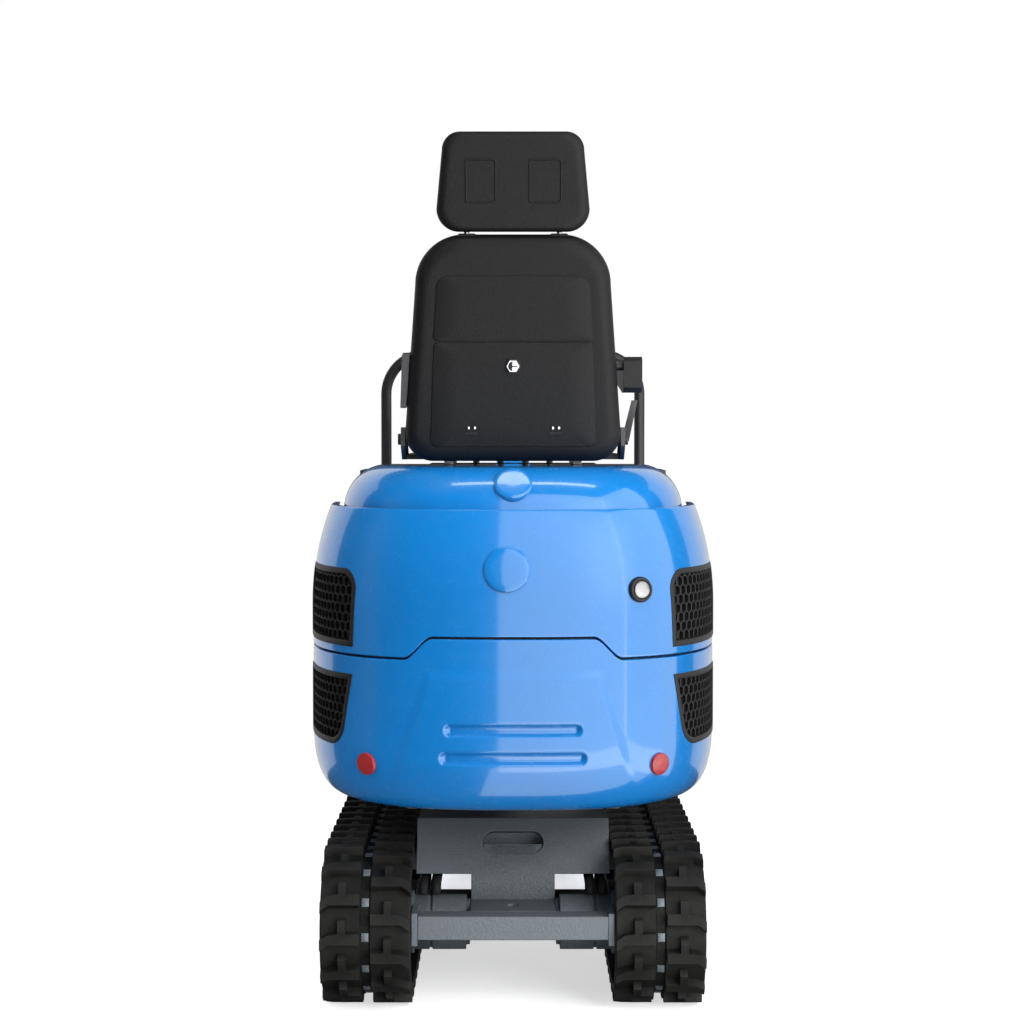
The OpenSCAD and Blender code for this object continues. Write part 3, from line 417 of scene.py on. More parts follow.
T_FINE = np.linspace(0.0, math.pi, 20001)
X_FINE, Y_FINE = plan(T_FINE, 0.0)
LENGTH = np.concatenate([[0.0], np.cumsum(np.hypot(np.diff(X_FINE), np.diff(Y_FINE)))])
HALF_WAY = LENGTH[-1] / 2


def t_at(u):
    """Plan angle at a way u along the skin, from the middle of the tail to the right."""
    return np.interp(HALF_WAY - u, LENGTH, T_FINE)


def u_at(x, z):
    """Way along the skin at which it has a distance x from the middle, at a height."""
    t = np.arccos(np.clip(abs(x) / (BODY_W - body_draw(z)), 0, 1) ** (PLAN_N / 2))
    return float(np.sign(x) * (HALF_WAY - np.interp(t, T_FINE, LENGTH)))


def part_line(t):
    """Height of the parting line over the plan."""
    x, _ = plan(t, 0.0)
    return PART_Z + PART_RISE * smooth_step((RISE_X[1] - np.abs(x)) / (RISE_X[1] - RISE_X[0]))


def on_skin(u, z, depth):
    """Points at ways u and heights z, a depth under the skin."""
    return skin(t_at(np.asarray(u, float)), np.asarray(z, float), np.asarray(depth, float))


def body_shell(low, high, wall, field):
    """Closed wall between two lines of heights: a fine outer face, rounded edges and a coarse inner face."""
    edge = 0.0018
    cols, rows = 560, 90
    u = np.linspace(-HALF_WAY, HALF_WAY, cols)
    t = t_at(u)
    bottom, top = low(t), high(t)
    near = np.array([0.0, 0.1, 0.25, 0.5, 1.0])
    between = np.linspace(0, 1, rows)[1:-1]
    points = []
    for kind, values in (("low", near), ("mid", between), ("high", near[::-1])):
        for f in values:
            if kind == "mid":
                z = bottom + edge + f * (top - bottom - 2 * edge)
                lip = 0.0
            else:
                z = bottom + edge * f if kind == "low" else top - edge * f
                lip = edge * (1 - math.sqrt(1 - (1 - f) ** 2))
            points.append(skin(t, z, lip + field(u, z)))
    for f in np.linspace(1, 0, 6):
        points.append(skin(t, bottom + f * (top - bottom), wall))
    points.append(points[0])
    ends = [tuple(r * cols + c for r in range(len(points) - 1)) for c in (0, cols - 1)]
    return np.concatenate(points), grid_faces(len(points), cols) + ends


# Vents in the rear corners

VENT_FRONT_T = math.radians(10.5)
VENT_CORNER = 0.012
VENT_DEPTHS = {True: 0.0105, False: 0.027}
VENT_REAR_X = {True: (0.331, 0.321), False: (0.355, 0.333)}
VENT_REAR_R = {True: 0.042, False: 0.055}
UPPER_VENT = (PART_Z + 0.018, PART_Z + 0.172)
LOWER_VENT = (PART_Z - 0.191, PART_Z - 0.045)


def arc(centre, radius, start, end, steps=7):
    angles = np.radians(np.linspace(start, end, steps))
    return [(centre[0] + radius * math.cos(a), centre[1] + radius * math.sin(a)) for a in angles]


def vent_outline(vent, upper):
    """Outline of the right vent in ways and heights, counter-clockwise from its lower rear corner."""
    z0, z1 = vent
    front = HALF_WAY - float(np.interp(VENT_FRONT_T, T_FINE, LENGTH))
    x0, x1 = VENT_REAR_X[upper]
    foot, head, r = u_at(x0, z0), u_at(x1, z1), VENT_REAR_R[upper]
    low_front = arc((front - VENT_CORNER, z0 + VENT_CORNER), VENT_CORNER, -90, 0)
    high_front = arc((front - VENT_CORNER, z1 - VENT_CORNER), VENT_CORNER, 0, 90)
    if upper:
        return [(foot, z0), *low_front, *high_front, *arc((head + r, z1 - r), r, 90, 172)]
    return [*arc((foot + r - 0.010, z0 + r), r, 188, 270), *low_front, *high_front, (head, z1)]


def inside(outline, u, z):
    """Whether points lie in a closed outline."""
    result = np.zeros(np.shape(u), bool)
    n = len(outline)
    for i in range(n):
        (u0, z0), (u1, z1) = outline[i], outline[(i + 1) % n]
        crosses = (z0 > z) != (z1 > z)
        with np.errstate(divide="ignore", invalid="ignore"):
            at = u0 + (z - z0) * (u1 - u0) / (z1 - z0)
        result ^= crosses & (u < at)
    return result


def inset(outline, distance):
    """The outline moved inwards, or outwards for a negative distance."""
    pts = np.array(outline)
    before, after = np.roll(pts, 1, 0), np.roll(pts, -1, 0)

    def normal(a, b):
        d = b - a
        d = d / np.maximum(np.linalg.norm(d, axis=1, keepdims=True), 1e-9)
        return np.stack([-d[:, 1], d[:, 0]], 1)

    n0, n1 = normal(before, pts), normal(pts, after)
    mitre = n0 + n1
    mitre /= np.maximum(np.sum(mitre * n1, axis=1, keepdims=True), 0.5)
    return pts + distance * mitre


def dense(outline, step=0.008):
    """The outline with points no further apart than a step."""
    result = []
    for a, b in zip(outline, [*outline[1:], outline[0]]):
        a, b = np.array(a), np.array(b)
        count = max(1, int(np.linalg.norm(b - a) / step))
        result.extend((a + (b - a) * i / count).tolist() for i in range(count))
    return [tuple(p) for p in result]


def mapped(parts, points, faces, side):
    """Adds a form given in ways, heights and depths, mirrored for the left side."""
    pts = np.array(points, float)
    parts.add(on_skin(side * pts[:, 0], pts[:, 1], pts[:, 2]), faces)


HEX_PITCH = 0.0215
HEX_BAR = 0.0036
HEX_DEPTH = (0.0015, 0.0085)
FRAME_SECTION = (
    (-0.004, 0.002), (-0.003, -0.0012), (0.000, -0.0022), (0.006, -0.0022), (0.009, 0.0), (0.009, 0.009),
)
WALL_INSET, WALL_START = 0.004, 0.004


def hex_mesh(parts, outline, side):
    """Honeycomb in a vent: one ring with its walls to each cell."""
    radius = HEX_PITCH / math.sqrt(3)
    hole = radius - HEX_BAR / math.sqrt(3)
    (u0, z0), (u1, z1) = np.min(outline, 0), np.max(outline, 0)
    limit = [tuple(p) for p in inset(outline, 0.001)]
    angles = np.radians(np.arange(6) * 60 + 30)
    ring = np.stack([np.cos(angles), np.sin(angles)], 1)
    faces = grid_faces(4, 6, wrap=True)
    face, back = HEX_DEPTH
    row_step = 1.5 * radius
    for row in range(int((z1 - z0) / row_step) + 2):
        for col in range(int((u1 - u0) / HEX_PITCH) + 2):
            centre = np.array([u0 + (col + 0.5 * (row % 2)) * HEX_PITCH, z0 + row * row_step])
            if not inside(limit, centre[0:1], centre[1:2])[0]:
                continue
            rings = ((radius, face + 0.001), (hole, face), (hole, back), (radius, back))
            pts = np.concatenate([np.c_[centre + r * ring, np.full(6, depth)] for r, depth in rings])
            mapped(parts, pts, faces, side)


def vent_frame(parts, outline, side, floor_depth):
    """Frame swept round a vent in a section of insets and depths, with a wall and a floor behind it."""
    outline = dense(outline)
    count = len(outline)
    rings = [np.c_[inset(outline, off), np.full(count, depth)] for off, depth in FRAME_SECTION]
    mapped(parts, np.concatenate(rings), grid_faces(len(rings), count, wrap=True), side)
    inner = inset(outline, WALL_INSET)
    wall = [np.c_[inner, np.full(count, depth)] for depth in (WALL_START, floor_depth)]
    mapped(parts, np.concatenate(wall), grid_faces(2, count, wrap=True), side)
    middle = inner.mean(0)
    shares = np.linspace(1, 0.06, 9)
    fan = [np.c_[middle + (inner - middle) * f, np.full(count, floor_depth)] for f in shares]
    mapped(parts, np.concatenate(fan), ring_faces(len(fan), count, first=False), side)


def grilles(name, vent, upper, body, node):
    parts = Parts()
    outline = vent_outline(vent, upper)
    for side in (1, -1):
        hex_mesh(parts, outline, side)
        vent_frame(parts, outline, side, VENT_DEPTHS[upper] - 0.001)
    finish_piece(parts.piece(name), "plastic", body, node)


def vent_field(vent, upper):
    outline = [tuple(p) for p in inset(vent_outline(vent, upper), 0.003)]
    return lambda u, z: VENT_DEPTHS[upper] * inside(outline, np.abs(u), z)


def capsule(u, z, centre_z, half_length, half_height, depth, ramp):
    """Depth of a long groove with round ends."""
    du = np.maximum(np.abs(u) - (half_length - half_height), 0.0)
    reach = half_height - np.hypot(du, z - centre_z)
    return depth * smooth_step(reach / ramp)


GROOVES = ((FOOT_Z + 0.171, 0.140), (FOOT_Z + 0.114, 0.150))
PANEL_TOP = PART_Z - 0.022


def casting_field(u, z):
    """Grooves, raised middle panel and vents of the counterweight."""
    depth = vent_field(LOWER_VENT, False)(u, z)
    half = 0.180 + 0.35 * (PANEL_TOP - z)
    reach = np.minimum(half - np.abs(u), PANEL_TOP - z)
    depth = depth - 0.003 * smooth_step(reach / 0.022) * smooth_step((z - FOOT_Z - 0.03) / 0.08)
    for centre_z, half_length in GROOVES:
        depth = depth + capsule(u, z, centre_z, half_length, 0.0135, 0.009, 0.008)
    return depth


def counterweight():
    verts, faces = body_shell(
        lambda t: FOOT_Z + 0 * t, lambda t: part_line(t) - PART_GAP, 0.070, casting_field,
    )
    casting = mesh_object("counterweight_casting", verts, faces, 60)
    finish_piece(casting, "blue_cast", "house", "counterweight")


def skin_disc(parts, u, z, profile, sides=48):
    """Turned form laid on the skin; profile holds (radius, height over the skin)."""
    angles = np.linspace(0, 2 * math.pi, sides, endpoint=False)
    rings = []
    for radius, height in profile:
        along, up = u + radius * np.cos(angles), z + radius * np.sin(angles)
        rings.append(on_skin(along, up, np.full(sides, -height)))
    parts.add(np.concatenate(rings), ring_faces(len(profile), sides, first=False))


HOOD_DISC = (
    (0.047, -0.003), (0.0465, 0.003), (0.0445, 0.0052), (0.041, 0.0062), (0.030, 0.0066), (0.012, 0.0068),
)
LENS = ((0.0232, 0.0), (0.0232, 0.004), (0.022, 0.0062), (0.020, 0.0066), (0.005, 0.0068))


def hood():
    parts = Parts()
    parts.add(*body_shell(part_line, lambda t: RIM_Z + 0 * t, 0.012, vent_field(UPPER_VENT, True)))
    skin_disc(parts, -0.013, PART_Z + 0.180, HOOD_DISC)
    hinge_lugs(parts)
    finish_piece(parts.piece("hood_shell", 60), "blue", "hood", "hood")


def box_form(lo, hi):
    (x0, y0, z0), (x1, y1, z1) = lo, hi
    verts = [(x, y, z) for x in (x0, x1) for y in (y0, y1) for z in (z0, z1)]
    return verts, [(0, 1, 3, 2), (4, 6, 7, 5), (0, 4, 5, 1), (2, 3, 7, 6), (0, 2, 6, 4), (1, 5, 7, 3)]


def hinge_lugs(parts):
    """Eyes of the hood round its hinge pins."""
    _, y, z = joints["hood_open"]["pos_m"]
    profile = [(0.0085, 0.0), (0.0195, 0.0), (0.0205, 0.002), (0.0205, 0.046)]
    for side in (-1, 1):
        parts.add(*lathe(profile, 28, facing((side * 0.356, y, z), (side, 0, 0))))


def crown():
    cols, rows = 240, 26
    t = t_at(np.linspace(-HALF_WAY, HALF_WAY, cols))
    heights = CROWN_FOOT_Z + (CROWN_Z - CROWN_FOOT_Z) * np.sin(np.linspace(0, math.pi / 2, rows))
    rings = [skin(t, np.full(cols, z), 0.0, crown_draw) for z in heights]
    top = rings[-1]
    middle = np.array([0.0, (top[:, 1].min() + FRONT_Y) / 2, CROWN_Z])
    rings += [middle + (top - middle) * f for f in (0.97, 0.8, 0.5, 0.2)]
    parts = Parts()
    parts.add(np.concatenate(rings), ring_faces(len(rings), cols))
    boss_z = RIM_Z + 0.050
    at = skin(np.array([math.pi / 2]), np.array([boss_z]), 0.0, crown_draw)[0]
    slope = (crown_draw(boss_z + 0.01) - crown_draw(boss_z - 0.01)) / 0.02
    profile = [(0.0395, -0.02), (0.039, 0.004), (0.0365, 0.0065), (0.030, 0.0072), (0.012, 0.0075)]
    parts.add(*lathe(profile, 56, facing(at, (0.0, -1.0, float(slope)))))
    finish_piece(parts.piece("crown_cover", 50), "blue", "house", "crown")


def hood_lock():
    parts = Parts()
    z = PART_Z + 0.137
    u = u_at(0.257, z)
    skin_disc(parts, u, z, [(0.026, -0.001), (0.026, 0.005), (0.024, 0.008), (0.0195, 0.008), (0.018, 0.005)])
    finish_piece(parts.piece("lock_ring"), "plastic", "hood")
    face = Parts()
    skin_disc(face, u, z, [(0.0172, 0.004), (0.0172, 0.0085), (0.0155, 0.0098), (0.004, 0.0102)])
    finish_piece(face.piece("lock_face"), "steel", "hood", "hood_lock")


def reflectors():
    parts = Parts()
    z = FOOT_Z + 0.093
    for side in (1, -1):
        u = side * u_at(0.299, z)
        skin_disc(parts, u, z, LENS, 40)
    finish_piece(parts.piece("reflector_lenses"), "reflector", "house", "reflectors")


# Rubber tracks

TRACK_LINKS = 37
BELT_T, LUG_H = 0.020, 0.019
GROOVE_HW = 0.011
LUG_START = 0.022


def loop_frame(wheelbase, radius, s):
    """Point and outward direction on the belt's loop at a way s."""
    half = wheelbase + math.pi * radius
    q = s % (2 * half)
    front = q < half
    u = q if front else q - half
    a = max(0.0, u - wheelbase) / radius
    out = np.array([math.sin(a), math.cos(a)])
    point = np.array([min(u, wheelbase) - wheelbase / 2, 0.0]) + radius * out
    return (point, out) if front else (-point, -out)


def track(name, node):
    lo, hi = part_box(node)
    outer = (hi.z - lo.z) / 2
    radius = outer - LUG_H
    wheelbase = 2 * (middle_of("idlers").y - SLEW_Y)
    centre_y, centre_z, centre_x = SLEW_Y, lo.z + outer, (lo.x + hi.x) / 2
    half_w = (hi.x - lo.x) / 2
    length = 2 * (wheelbase + math.pi * radius)
    pitch = length / TRACK_LINKS

    def at(x, s, h):
        point, out = loop_frame(wheelbase, radius, s)
        y, z = point + h * out
        return (centre_x + x, centre_y + y, centre_z + z)

    belt = Parts()
    section = [
        (-half_w, -BELT_T), (-half_w, -0.003), (-half_w + 0.003, 0.0),
        (-GROOVE_HW, 0.0), (-GROOVE_HW + 0.003, -0.004), (GROOVE_HW - 0.003, -0.004), (GROOVE_HW, 0.0),
        (half_w - 0.003, 0.0), (half_w, -0.003), (half_w, -BELT_T),
        (0.03, -BELT_T), (0.024, -BELT_T - 0.004), (-0.024, -BELT_T - 0.004), (-0.03, -BELT_T),
    ]
    steps = 6 * TRACK_LINKS
    rings = [[at(x, i * length / steps, h) for x, h in section] for i in range(steps + 1)]
    belt.add(np.array(rings), grid_faces(steps + 1, len(section), wrap=True))
    for half in (-1, 1):
        for i in range(TRACK_LINKS):
            lug(belt, at, half, i * pitch + LUG_START + (pitch / 2 if half < 0 else 0.0), half_w)
    finish_piece(belt.piece(name, 35), "rubber", "undercarriage", node)
    return at, pitch


def lug(parts, at, half, s, half_w):
    """T-shaped lug on one half of the belt: a bar whose outer end slants, and a stem."""
    inner, outer = half * GROOVE_HW, half * half_w
    bar, stem = 0.011, 0.037
    outline = [
        (0.0, bar), (0.34, bar), (0.34, stem), (0.54, stem), (0.54, bar),
        (0.80, bar - 0.003), (1.0, bar - 0.014), (1.0, -bar - 0.012), (0.78, -bar), (0.0, -bar),
    ]
    points = []
    for share_x, share_s, height in ((1.0, 1.10, -0.001), (0.985, 0.98, LUG_H - 0.0025), (0.97, 0.92, LUG_H)):
        for f, w in outline:
            x = inner + (0.5 + share_x * (f - 0.5)) * (outer - inner)
            points.append(at(x, s + share_s * w, height))
    n = len(outline)
    faces = grid_faces(3, n, wrap=True)
    bar_top, stem_top = (0, 1, 4, 5, 6, 7, 8, 9), (1, 2, 3, 4)
    faces += [tuple(2 * n + i for i in top) for top in (bar_top, stem_top)]
    parts.add(np.array(points), faces)


def track_windows(name, tracks):
    """Small steel ends of the belt's inner links in the middle groove."""
    parts = Parts()
    for at, pitch in tracks:
        for i in range(TRACK_LINKS):
            s = i * pitch + LUG_START + pitch / 2
            outline = [(-0.0075, -0.009), (0.0075, -0.009), (0.0075, 0.009), (-0.0075, 0.009)]
            foot = [at(x, s + w, -0.006) for x, w in outline]
            head = [at(x, s + w, -0.0015) for x, w in outline]
            cap = [at(0.8 * x, s + 0.8 * w, -0.0005) for x, w in outline]
            parts.add(np.array(foot + head + cap), ring_faces(3, 4, first=False))
    finish_piece(parts.piece(name), "grey", "undercarriage")


# Seat

LEAN = math.radians(8)
SEAT_Y = SLEW_Y - 0.385
BACK_Z = CROWN_Z + 0.010
BACK_LEN = 0.482
BACK_MID = 0.012
REAR = BACK_MID - 0.050
PLATE_T = 0.0026
CAP_UP = 0.209
HEAD_S = BACK_LEN + 0.006
HEAD_REAR = BACK_MID - 0.040
# Half width and corner radius at the foot, then at the top
BACK_SHELL = (0.231, 0.060, 0.207, 0.104)
BACK_PAD = (0.228, 0.060, 0.204, 0.102)
HEAD_PAD = (0.161, 0.048, 0.149, 0.038)


def leaned(points):
    """Points of the leaning back: across, forward and up along it."""
    x, y, up = np.asarray(points, float).T
    c, s = math.cos(LEAN), math.sin(LEAN)
    return np.stack([x, SEAT_Y + y * c - up * s, BACK_Z + y * s + up * c], -1)


def rounded_outline(low_hw, low_r, top_hw, top_r, low, high, steps=24):
    """Rounded trapezoid standing on its lower side, with evenly spaced points."""
    corners = [
        *arc((low_hw - low_r, low + low_r), low_r, -90, 0, steps),
        *arc((top_hw - top_r, high - top_r), top_r, 0, 90, steps),
        *arc((top_r - top_hw, high - top_r), top_r, 90, 180, steps),
        *arc((low_r - low_hw, low + low_r), low_r, 180, 270, steps),
    ]
    return np.array(dense(corners, 0.006))


def pad_form(outline, layers, fill=24):
    """Closed pad: the outline at several depths, each with a scale about its middle, and filled faces."""
    middle = (outline.min(0) + outline.max(0)) / 2
    depths, scales = np.array(layers).T
    inner = np.linspace(1, 0.02, fill)[1:]
    rings = [(depths[0], scales[0] * f) for f in inner[::-1]] + list(zip(depths, scales))
    rings += [(depths[-1], scales[-1] * f) for f in inner]
    points = []
    for depth, scale in rings:
        flat = middle + scale * (outline - middle)
        points.append(np.c_[flat[:, 0], np.full(len(flat), depth), flat[:, 1]])
    return np.concatenate(points), ring_faces(len(rings), len(outline))


def curve_layers(rear, rear_edge, front, front_edge, rear_scale, front_scale, steps=8):
    """Layers of a pad whose faces run into its rim in quarter ellipses."""
    turn = np.linspace(0, math.pi / 2, steps)
    sink, draw = 1 - np.sin(turn), 1 - np.cos(turn)
    back = list(zip(rear + rear_edge * sink, 1 - (1 - rear_scale) * draw))
    fore = list(zip(front - front_edge * sink, 1 - (1 - front_scale) * draw))
    return back[::-1] + fore


def baked(obj, *modifiers):
    """Puts modifiers' results into a piece's own mesh."""
    graph = bpy.context.evaluated_depsgraph_get()
    mesh = bpy.data.meshes.new_from_object(obj.evaluated_get(graph))
    for modifier in modifiers:
        obj.modifiers.remove(modifier)
    obj.data = mesh
    for polygon in mesh.polygons:
        polygon.use_smooth = True


def even_mesh(obj):
    """Even faces all over a piece, in place of its rings."""
    remesh = obj.modifiers.new("remesh", "REMESH")
    remesh.mode = "VOXEL"
    remesh.voxel_size = 0.006
    relax = obj.modifiers.new("relax", "SMOOTH")
    relax.factor, relax.iterations = 0.5, 6
    baked(obj, remesh, relax)


PLUMP_M = 0.008
CLOTH_FRAMES = 20


def plump(obj):
    even_mesh(obj)
    before = np.array([v.co for v in obj.data.vertices])
    cloth = obj.modifiers.new("cloth", "CLOTH")
    settings = cloth.settings
    settings.quality = 4
    settings.mass = 0.4
    settings.tension_stiffness = settings.compression_stiffness = settings.shear_stiffness = 25
    settings.bending_stiffness = 2
    settings.use_pressure = True
    settings.uniform_pressure_force = 4.0
    settings.effector_weights.gravity = 0.0
    cloth.collision_settings.use_collision = False
    cloth.collision_settings.use_self_collision = False
    cloth.point_cache.frame_start, cloth.point_cache.frame_end = 1, CLOTH_FRAMES
    scene = bpy.context.scene
    for number in range(1, CLOTH_FRAMES + 1):
        scene.frame_set(number)
    graph = bpy.context.evaluated_depsgraph_get()
    step = np.array([v.co for v in obj.evaluated_get(graph).data.vertices]) - before
    obj.modifiers.remove(cloth)
    scene.frame_set(1)
    way = np.maximum(np.linalg.norm(step, axis=1, keepdims=True), 1e-9)
    moved = before + step / way * PLUMP_M * np.tanh(way / PLUMP_M)
    obj.data.vertices.foreach_set("co", moved.ravel())
    relax = obj.modifiers.new("relax", "SMOOTH")
    relax.factor, relax.iterations = 0.5, 4
    baked(obj, relax)


def seat_back():
    outline = rounded_outline(*BACK_SHELL, 0.0, BACK_LEN)
    layers = curve_layers(REAR, 0.036, BACK_MID + 0.008, 0.004, 0.87, 0.985)
    verts, faces = pad_form(outline, layers)
    finish_piece(mesh_object("seat_back_shell", leaned(verts), faces, 50), "seat", "house", "seat_back")
    soft = rounded_outline(*BACK_PAD, 0.004, BACK_LEN - 0.004)
    layers = curve_layers(BACK_MID + 0.0085, 0.010, BACK_MID + 0.048, 0.024, 0.975, 0.90)
    verts, faces = pad_form(soft, layers, 20)
    verts[:, 1] += 0.006 * np.sin(verts[:, 2] / BACK_LEN * math.pi) * (verts[:, 1] > BACK_MID + 0.04)
    pad = mesh_object("seat_back_pad", leaned(verts), faces, 80)
    finish_piece(pad, "seat", "house", "seat_back")
    plump(pad)
    back_plates()


def back_plates():
    """Thin moulded panel on the shell's rear in two plates, with its fittings."""
    plates = Parts()
    layers = [(REAR + 0.002, 1.0), (REAR - 0.0012, 1.0), (REAR - 0.0021, 0.9955), (REAR - PLATE_T, 0.988)]
    lower, upper = (0.176, 0.014, 0.168, 0.010, 0.036, 0.2585), (0.168, 0.010, 0.161, 0.026, 0.2615, 0.398)
    for sizes in (lower, upper):
        verts, faces = pad_form(rounded_outline(*sizes, 8), layers, 4)
        plates.add(leaned(verts), faces)
    finish_piece(plates.piece("seat_back_panel", 30), "seat", "house")
    bright = Parts()
    out = leaned([(0, -1, 0)])[0] - leaned([(0, 0, 0)])[0]

    def at(x, up):
        return facing(leaned([(x, REAR - PLATE_T, up)])[0], out)

    bright.add(*lathe([(0.0158, -0.001), (0.0158, 0.006), (0.0135, 0.0085)], 6, at(0.0, CAP_UP)))
    bright.add(*lathe(rounded_rim(0.0105, 0.0105, 0.002, 3, 0.008), 28, at(0.0, CAP_UP)))
    for x in (-0.095, -0.082, 0.084, 0.097):
        bright.add(*lathe(rounded_rim(0.0038, 0.003, 0.0016, 3, -0.001), 16, at(x, 0.077)))
    finish_piece(bright.piece("seat_back_fittings", 30), "chrome", "house")
    dark = Parts()
    for x in (-0.089, 0.090):
        slot = rounded_outline(0.014, 0.0022, 0.014, 0.0022, 0.063, 0.0685, 4) + np.array([x, 0.0])
        face = REAR - PLATE_T
        verts, faces = pad_form(slot, [(REAR, 1.0), (face - 0.0012, 1.0), (face - 0.0018, 0.96)], 3)
        dark.add(leaned(verts), faces)
    verts, faces = box_form((-0.0085, REAR - 0.0142, 0.2078), (0.0085, REAR - 0.0125, 0.2102))
    dark.add(leaned(verts), faces)
    for x in (-0.098, 0.098):
        guide = rounded_outline(0.021, 0.005, 0.020, 0.005, BACK_LEN - 0.012, BACK_LEN + 0.0012, 5)
        guide = guide + np.array([x, 0.0])
        verts, faces = pad_form(guide, [(-0.012, 0.97), (-0.010, 1.0), (0.034, 1.0), (0.036, 0.97)], 4)
        dark.add(leaned(verts), faces)
    finish_piece(dark.piece("seat_back_trim", 35), "plastic", "house")


def headrest():
    outline = rounded_outline(*HEAD_PAD, HEAD_S, HEAD_S + 0.208)
    layers = curve_layers(HEAD_REAR, 0.022, BACK_MID + 0.038, 0.028, 0.87, 0.82)
    verts, faces = pad_form(outline, layers, 22)
    rest = mesh_object("headrest_pad", leaned(verts), faces, 80)
    finish_piece(rest, "seat", "house", "headrest")
    frames = Parts()
    ridge = ((0.0, 0.001), (0.001, -0.0014), (0.0026, -0.0022), (0.0042, -0.0014), (0.0050, 0.001))
    for x0, x1 in ((-0.101, -0.034), (0.032, 0.103)):
        middle = (x0 + x1) / 2
        half = (x1 - x0) / 2
        shift = np.array([middle, HEAD_S])
        outer = rounded_outline(half, 0.006, half, 0.006, 0.060, 0.153, 6) + shift
        centre = (outer.min(0) + outer.max(0)) / 2
        rings = []
        for width, depth in ridge:
            shrink = 1 - width / np.array([half, 0.0465])
            flat = centre + (outer - centre) * shrink
            rings.append(np.c_[flat[:, 0], np.full(len(flat), HEAD_REAR + depth), flat[:, 1]])
        frames.add(leaned(np.concatenate(rings)), grid_faces(len(ridge), len(outer), wrap=True))
    finish_piece(frames.piece("headrest_frames", 40), "seat", "house")


def seat_cushion():
    lo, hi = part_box("seat_cushion")
    half, length, height = (hi.x - lo.x) / 2, hi.y - lo.y, hi.z - lo.z
    outline = rounded_outline(half, 0.060, half, 0.070, 0.0, length)
    verts, faces = pad_form(outline, curve_layers(0.0, 0.010, height - 0.008, 0.045, 0.97, 0.88), 26)
    x, h, along = verts.T
    rim = np.clip(np.abs(x) / half, 0, 1) ** 3
    top = np.clip((h - 0.4 * height) / (0.6 * height), 0, 1)
    placed = np.stack([x, lo.y + along, lo.z + h + top * 0.008 * (rim - 0.5)], -1)
    cushion = mesh_object("seat_cushion_pad", placed, faces, 80)
    finish_piece(cushion, "seat", "house", "seat_cushion")
    plump(cushion)


# Small fittings

def hood_seal():
    """Dark rubber strip on the counterweight's upper face, inside the hood's lower edge: painted shade that
    darkens the parting gap.
    """
    cols = 240
    t = t_at(np.linspace(-HALF_WAY, HALF_WAY, cols))
    line = part_line(t)
    section = [
        (-0.0055, 0.017), (0.005, 0.017), (0.0075, 0.019), (0.0075, 0.023), (0.005, 0.025), (-0.0055, 0.025),
    ]
    rings = [skin(t, line + up, depth) for up, depth in section]
    points = np.stack(rings, 1).reshape(-1, 3)
    finish_piece(mesh_object("hood_seal", points, ring_faces(cols, len(section))), "hose", "house")


def slot_ledge():
    """Lip of the chassis in the lower half of the rear cover's slot."""
    down, out = np.array([0.0, -0.482, -0.876]), np.array([0.0, -0.876, 0.482])
    middle = np.array([0.0, SLEW_Y - 0.3795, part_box("rear_cover")[1].z - 0.050])
    outline = np.array(dense([*arc((-0.041, 0.0), 0.023, 180, 90), *arc((0.041, 0.0), 0.023, 90, 0)], 0.004))
    flat, faces = pad_form(outline, [(-0.012, 1.0), (-0.0062, 1.0), (-0.0052, 0.985)], 4)
    points = middle + np.outer(flat[:, 0], (1, 0, 0)) + np.outer(flat[:, 1], out) + np.outer(flat[:, 2], down)
    finish_piece(mesh_object("slot_ledge", points, faces, 30), "grey", "undercarriage")


# Joint, the node and body that hold its pin's ends, radius
PIN_CAPS = (
    ("boom_lift", "boom", 0.026), ("arm_swing", "boom", 0.024), ("bucket_curl", "arm", 0.022),
    ("bucket_rocker_pivot", "bucket_rocker", 0.019),
)


def pin_caps():
    """Bolted caps over the ends of the working arm's pins."""
    for joint, body, radius in PIN_CAPS:
        _, y, z = joints[joint]["pos_m"]
        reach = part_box(body)[1].x
        parts = Parts()
        for side in (-1, 1):
            place = facing((side * reach, y, z), (side, 0, 0))
            parts.add(*lathe(rounded_rim(radius, 0.005, 0.002, 3, -0.001), 36, place))
            raised = facing((side * (reach + 0.0045), y, z), (side, 0, 0))
            hex_bolt(parts, raised, 0.018, 0.006)
        finish_piece(parts.piece(joint + "_caps"), "steel", body)


def glands():
    """Screwed rings at the open ends of the cylinders."""
    for name in ("boom", "arm", "bucket", "blade"):
        base = np.array(joints[name + "_barrel_pivot"]["pos_m"])
        axis = np.array(joints[name + "_rod_slide"]["axis"], float)
        points = np.array([v.co for v in nodes[name + "_barrel"].data.vertices]) - base
        along = points @ axis
        if abs(along.min()) > along.max():
            axis, along = -axis, -along
        end = along.max()
        rim = np.linalg.norm(points - np.outer(points @ axis, axis), axis=1)
        far = along > end - 0.001
        radius, bore = rim[far].max(), rim[far].min()
        lip, edge = bore + 0.001, radius - 0.004
        profile = [(lip, -0.001), (lip, 0.006), (edge - 0.002, 0.006), (edge, 0.004), (edge, -0.001)]
        low, high = radius + 0.0002, radius + 0.0022
        band = [(low, -0.030), (high, -0.029), (high, -0.012), (low, -0.011)]
        parts = Parts()
        place = facing(base + axis * end, axis)
        for ring in (profile, band):
            verts, faces = lathe(ring, 40, place)
            parts.add(verts, faces[:-2])
        finish_piece(parts.piece(name + "_gland"), "steel", name + "_barrel")


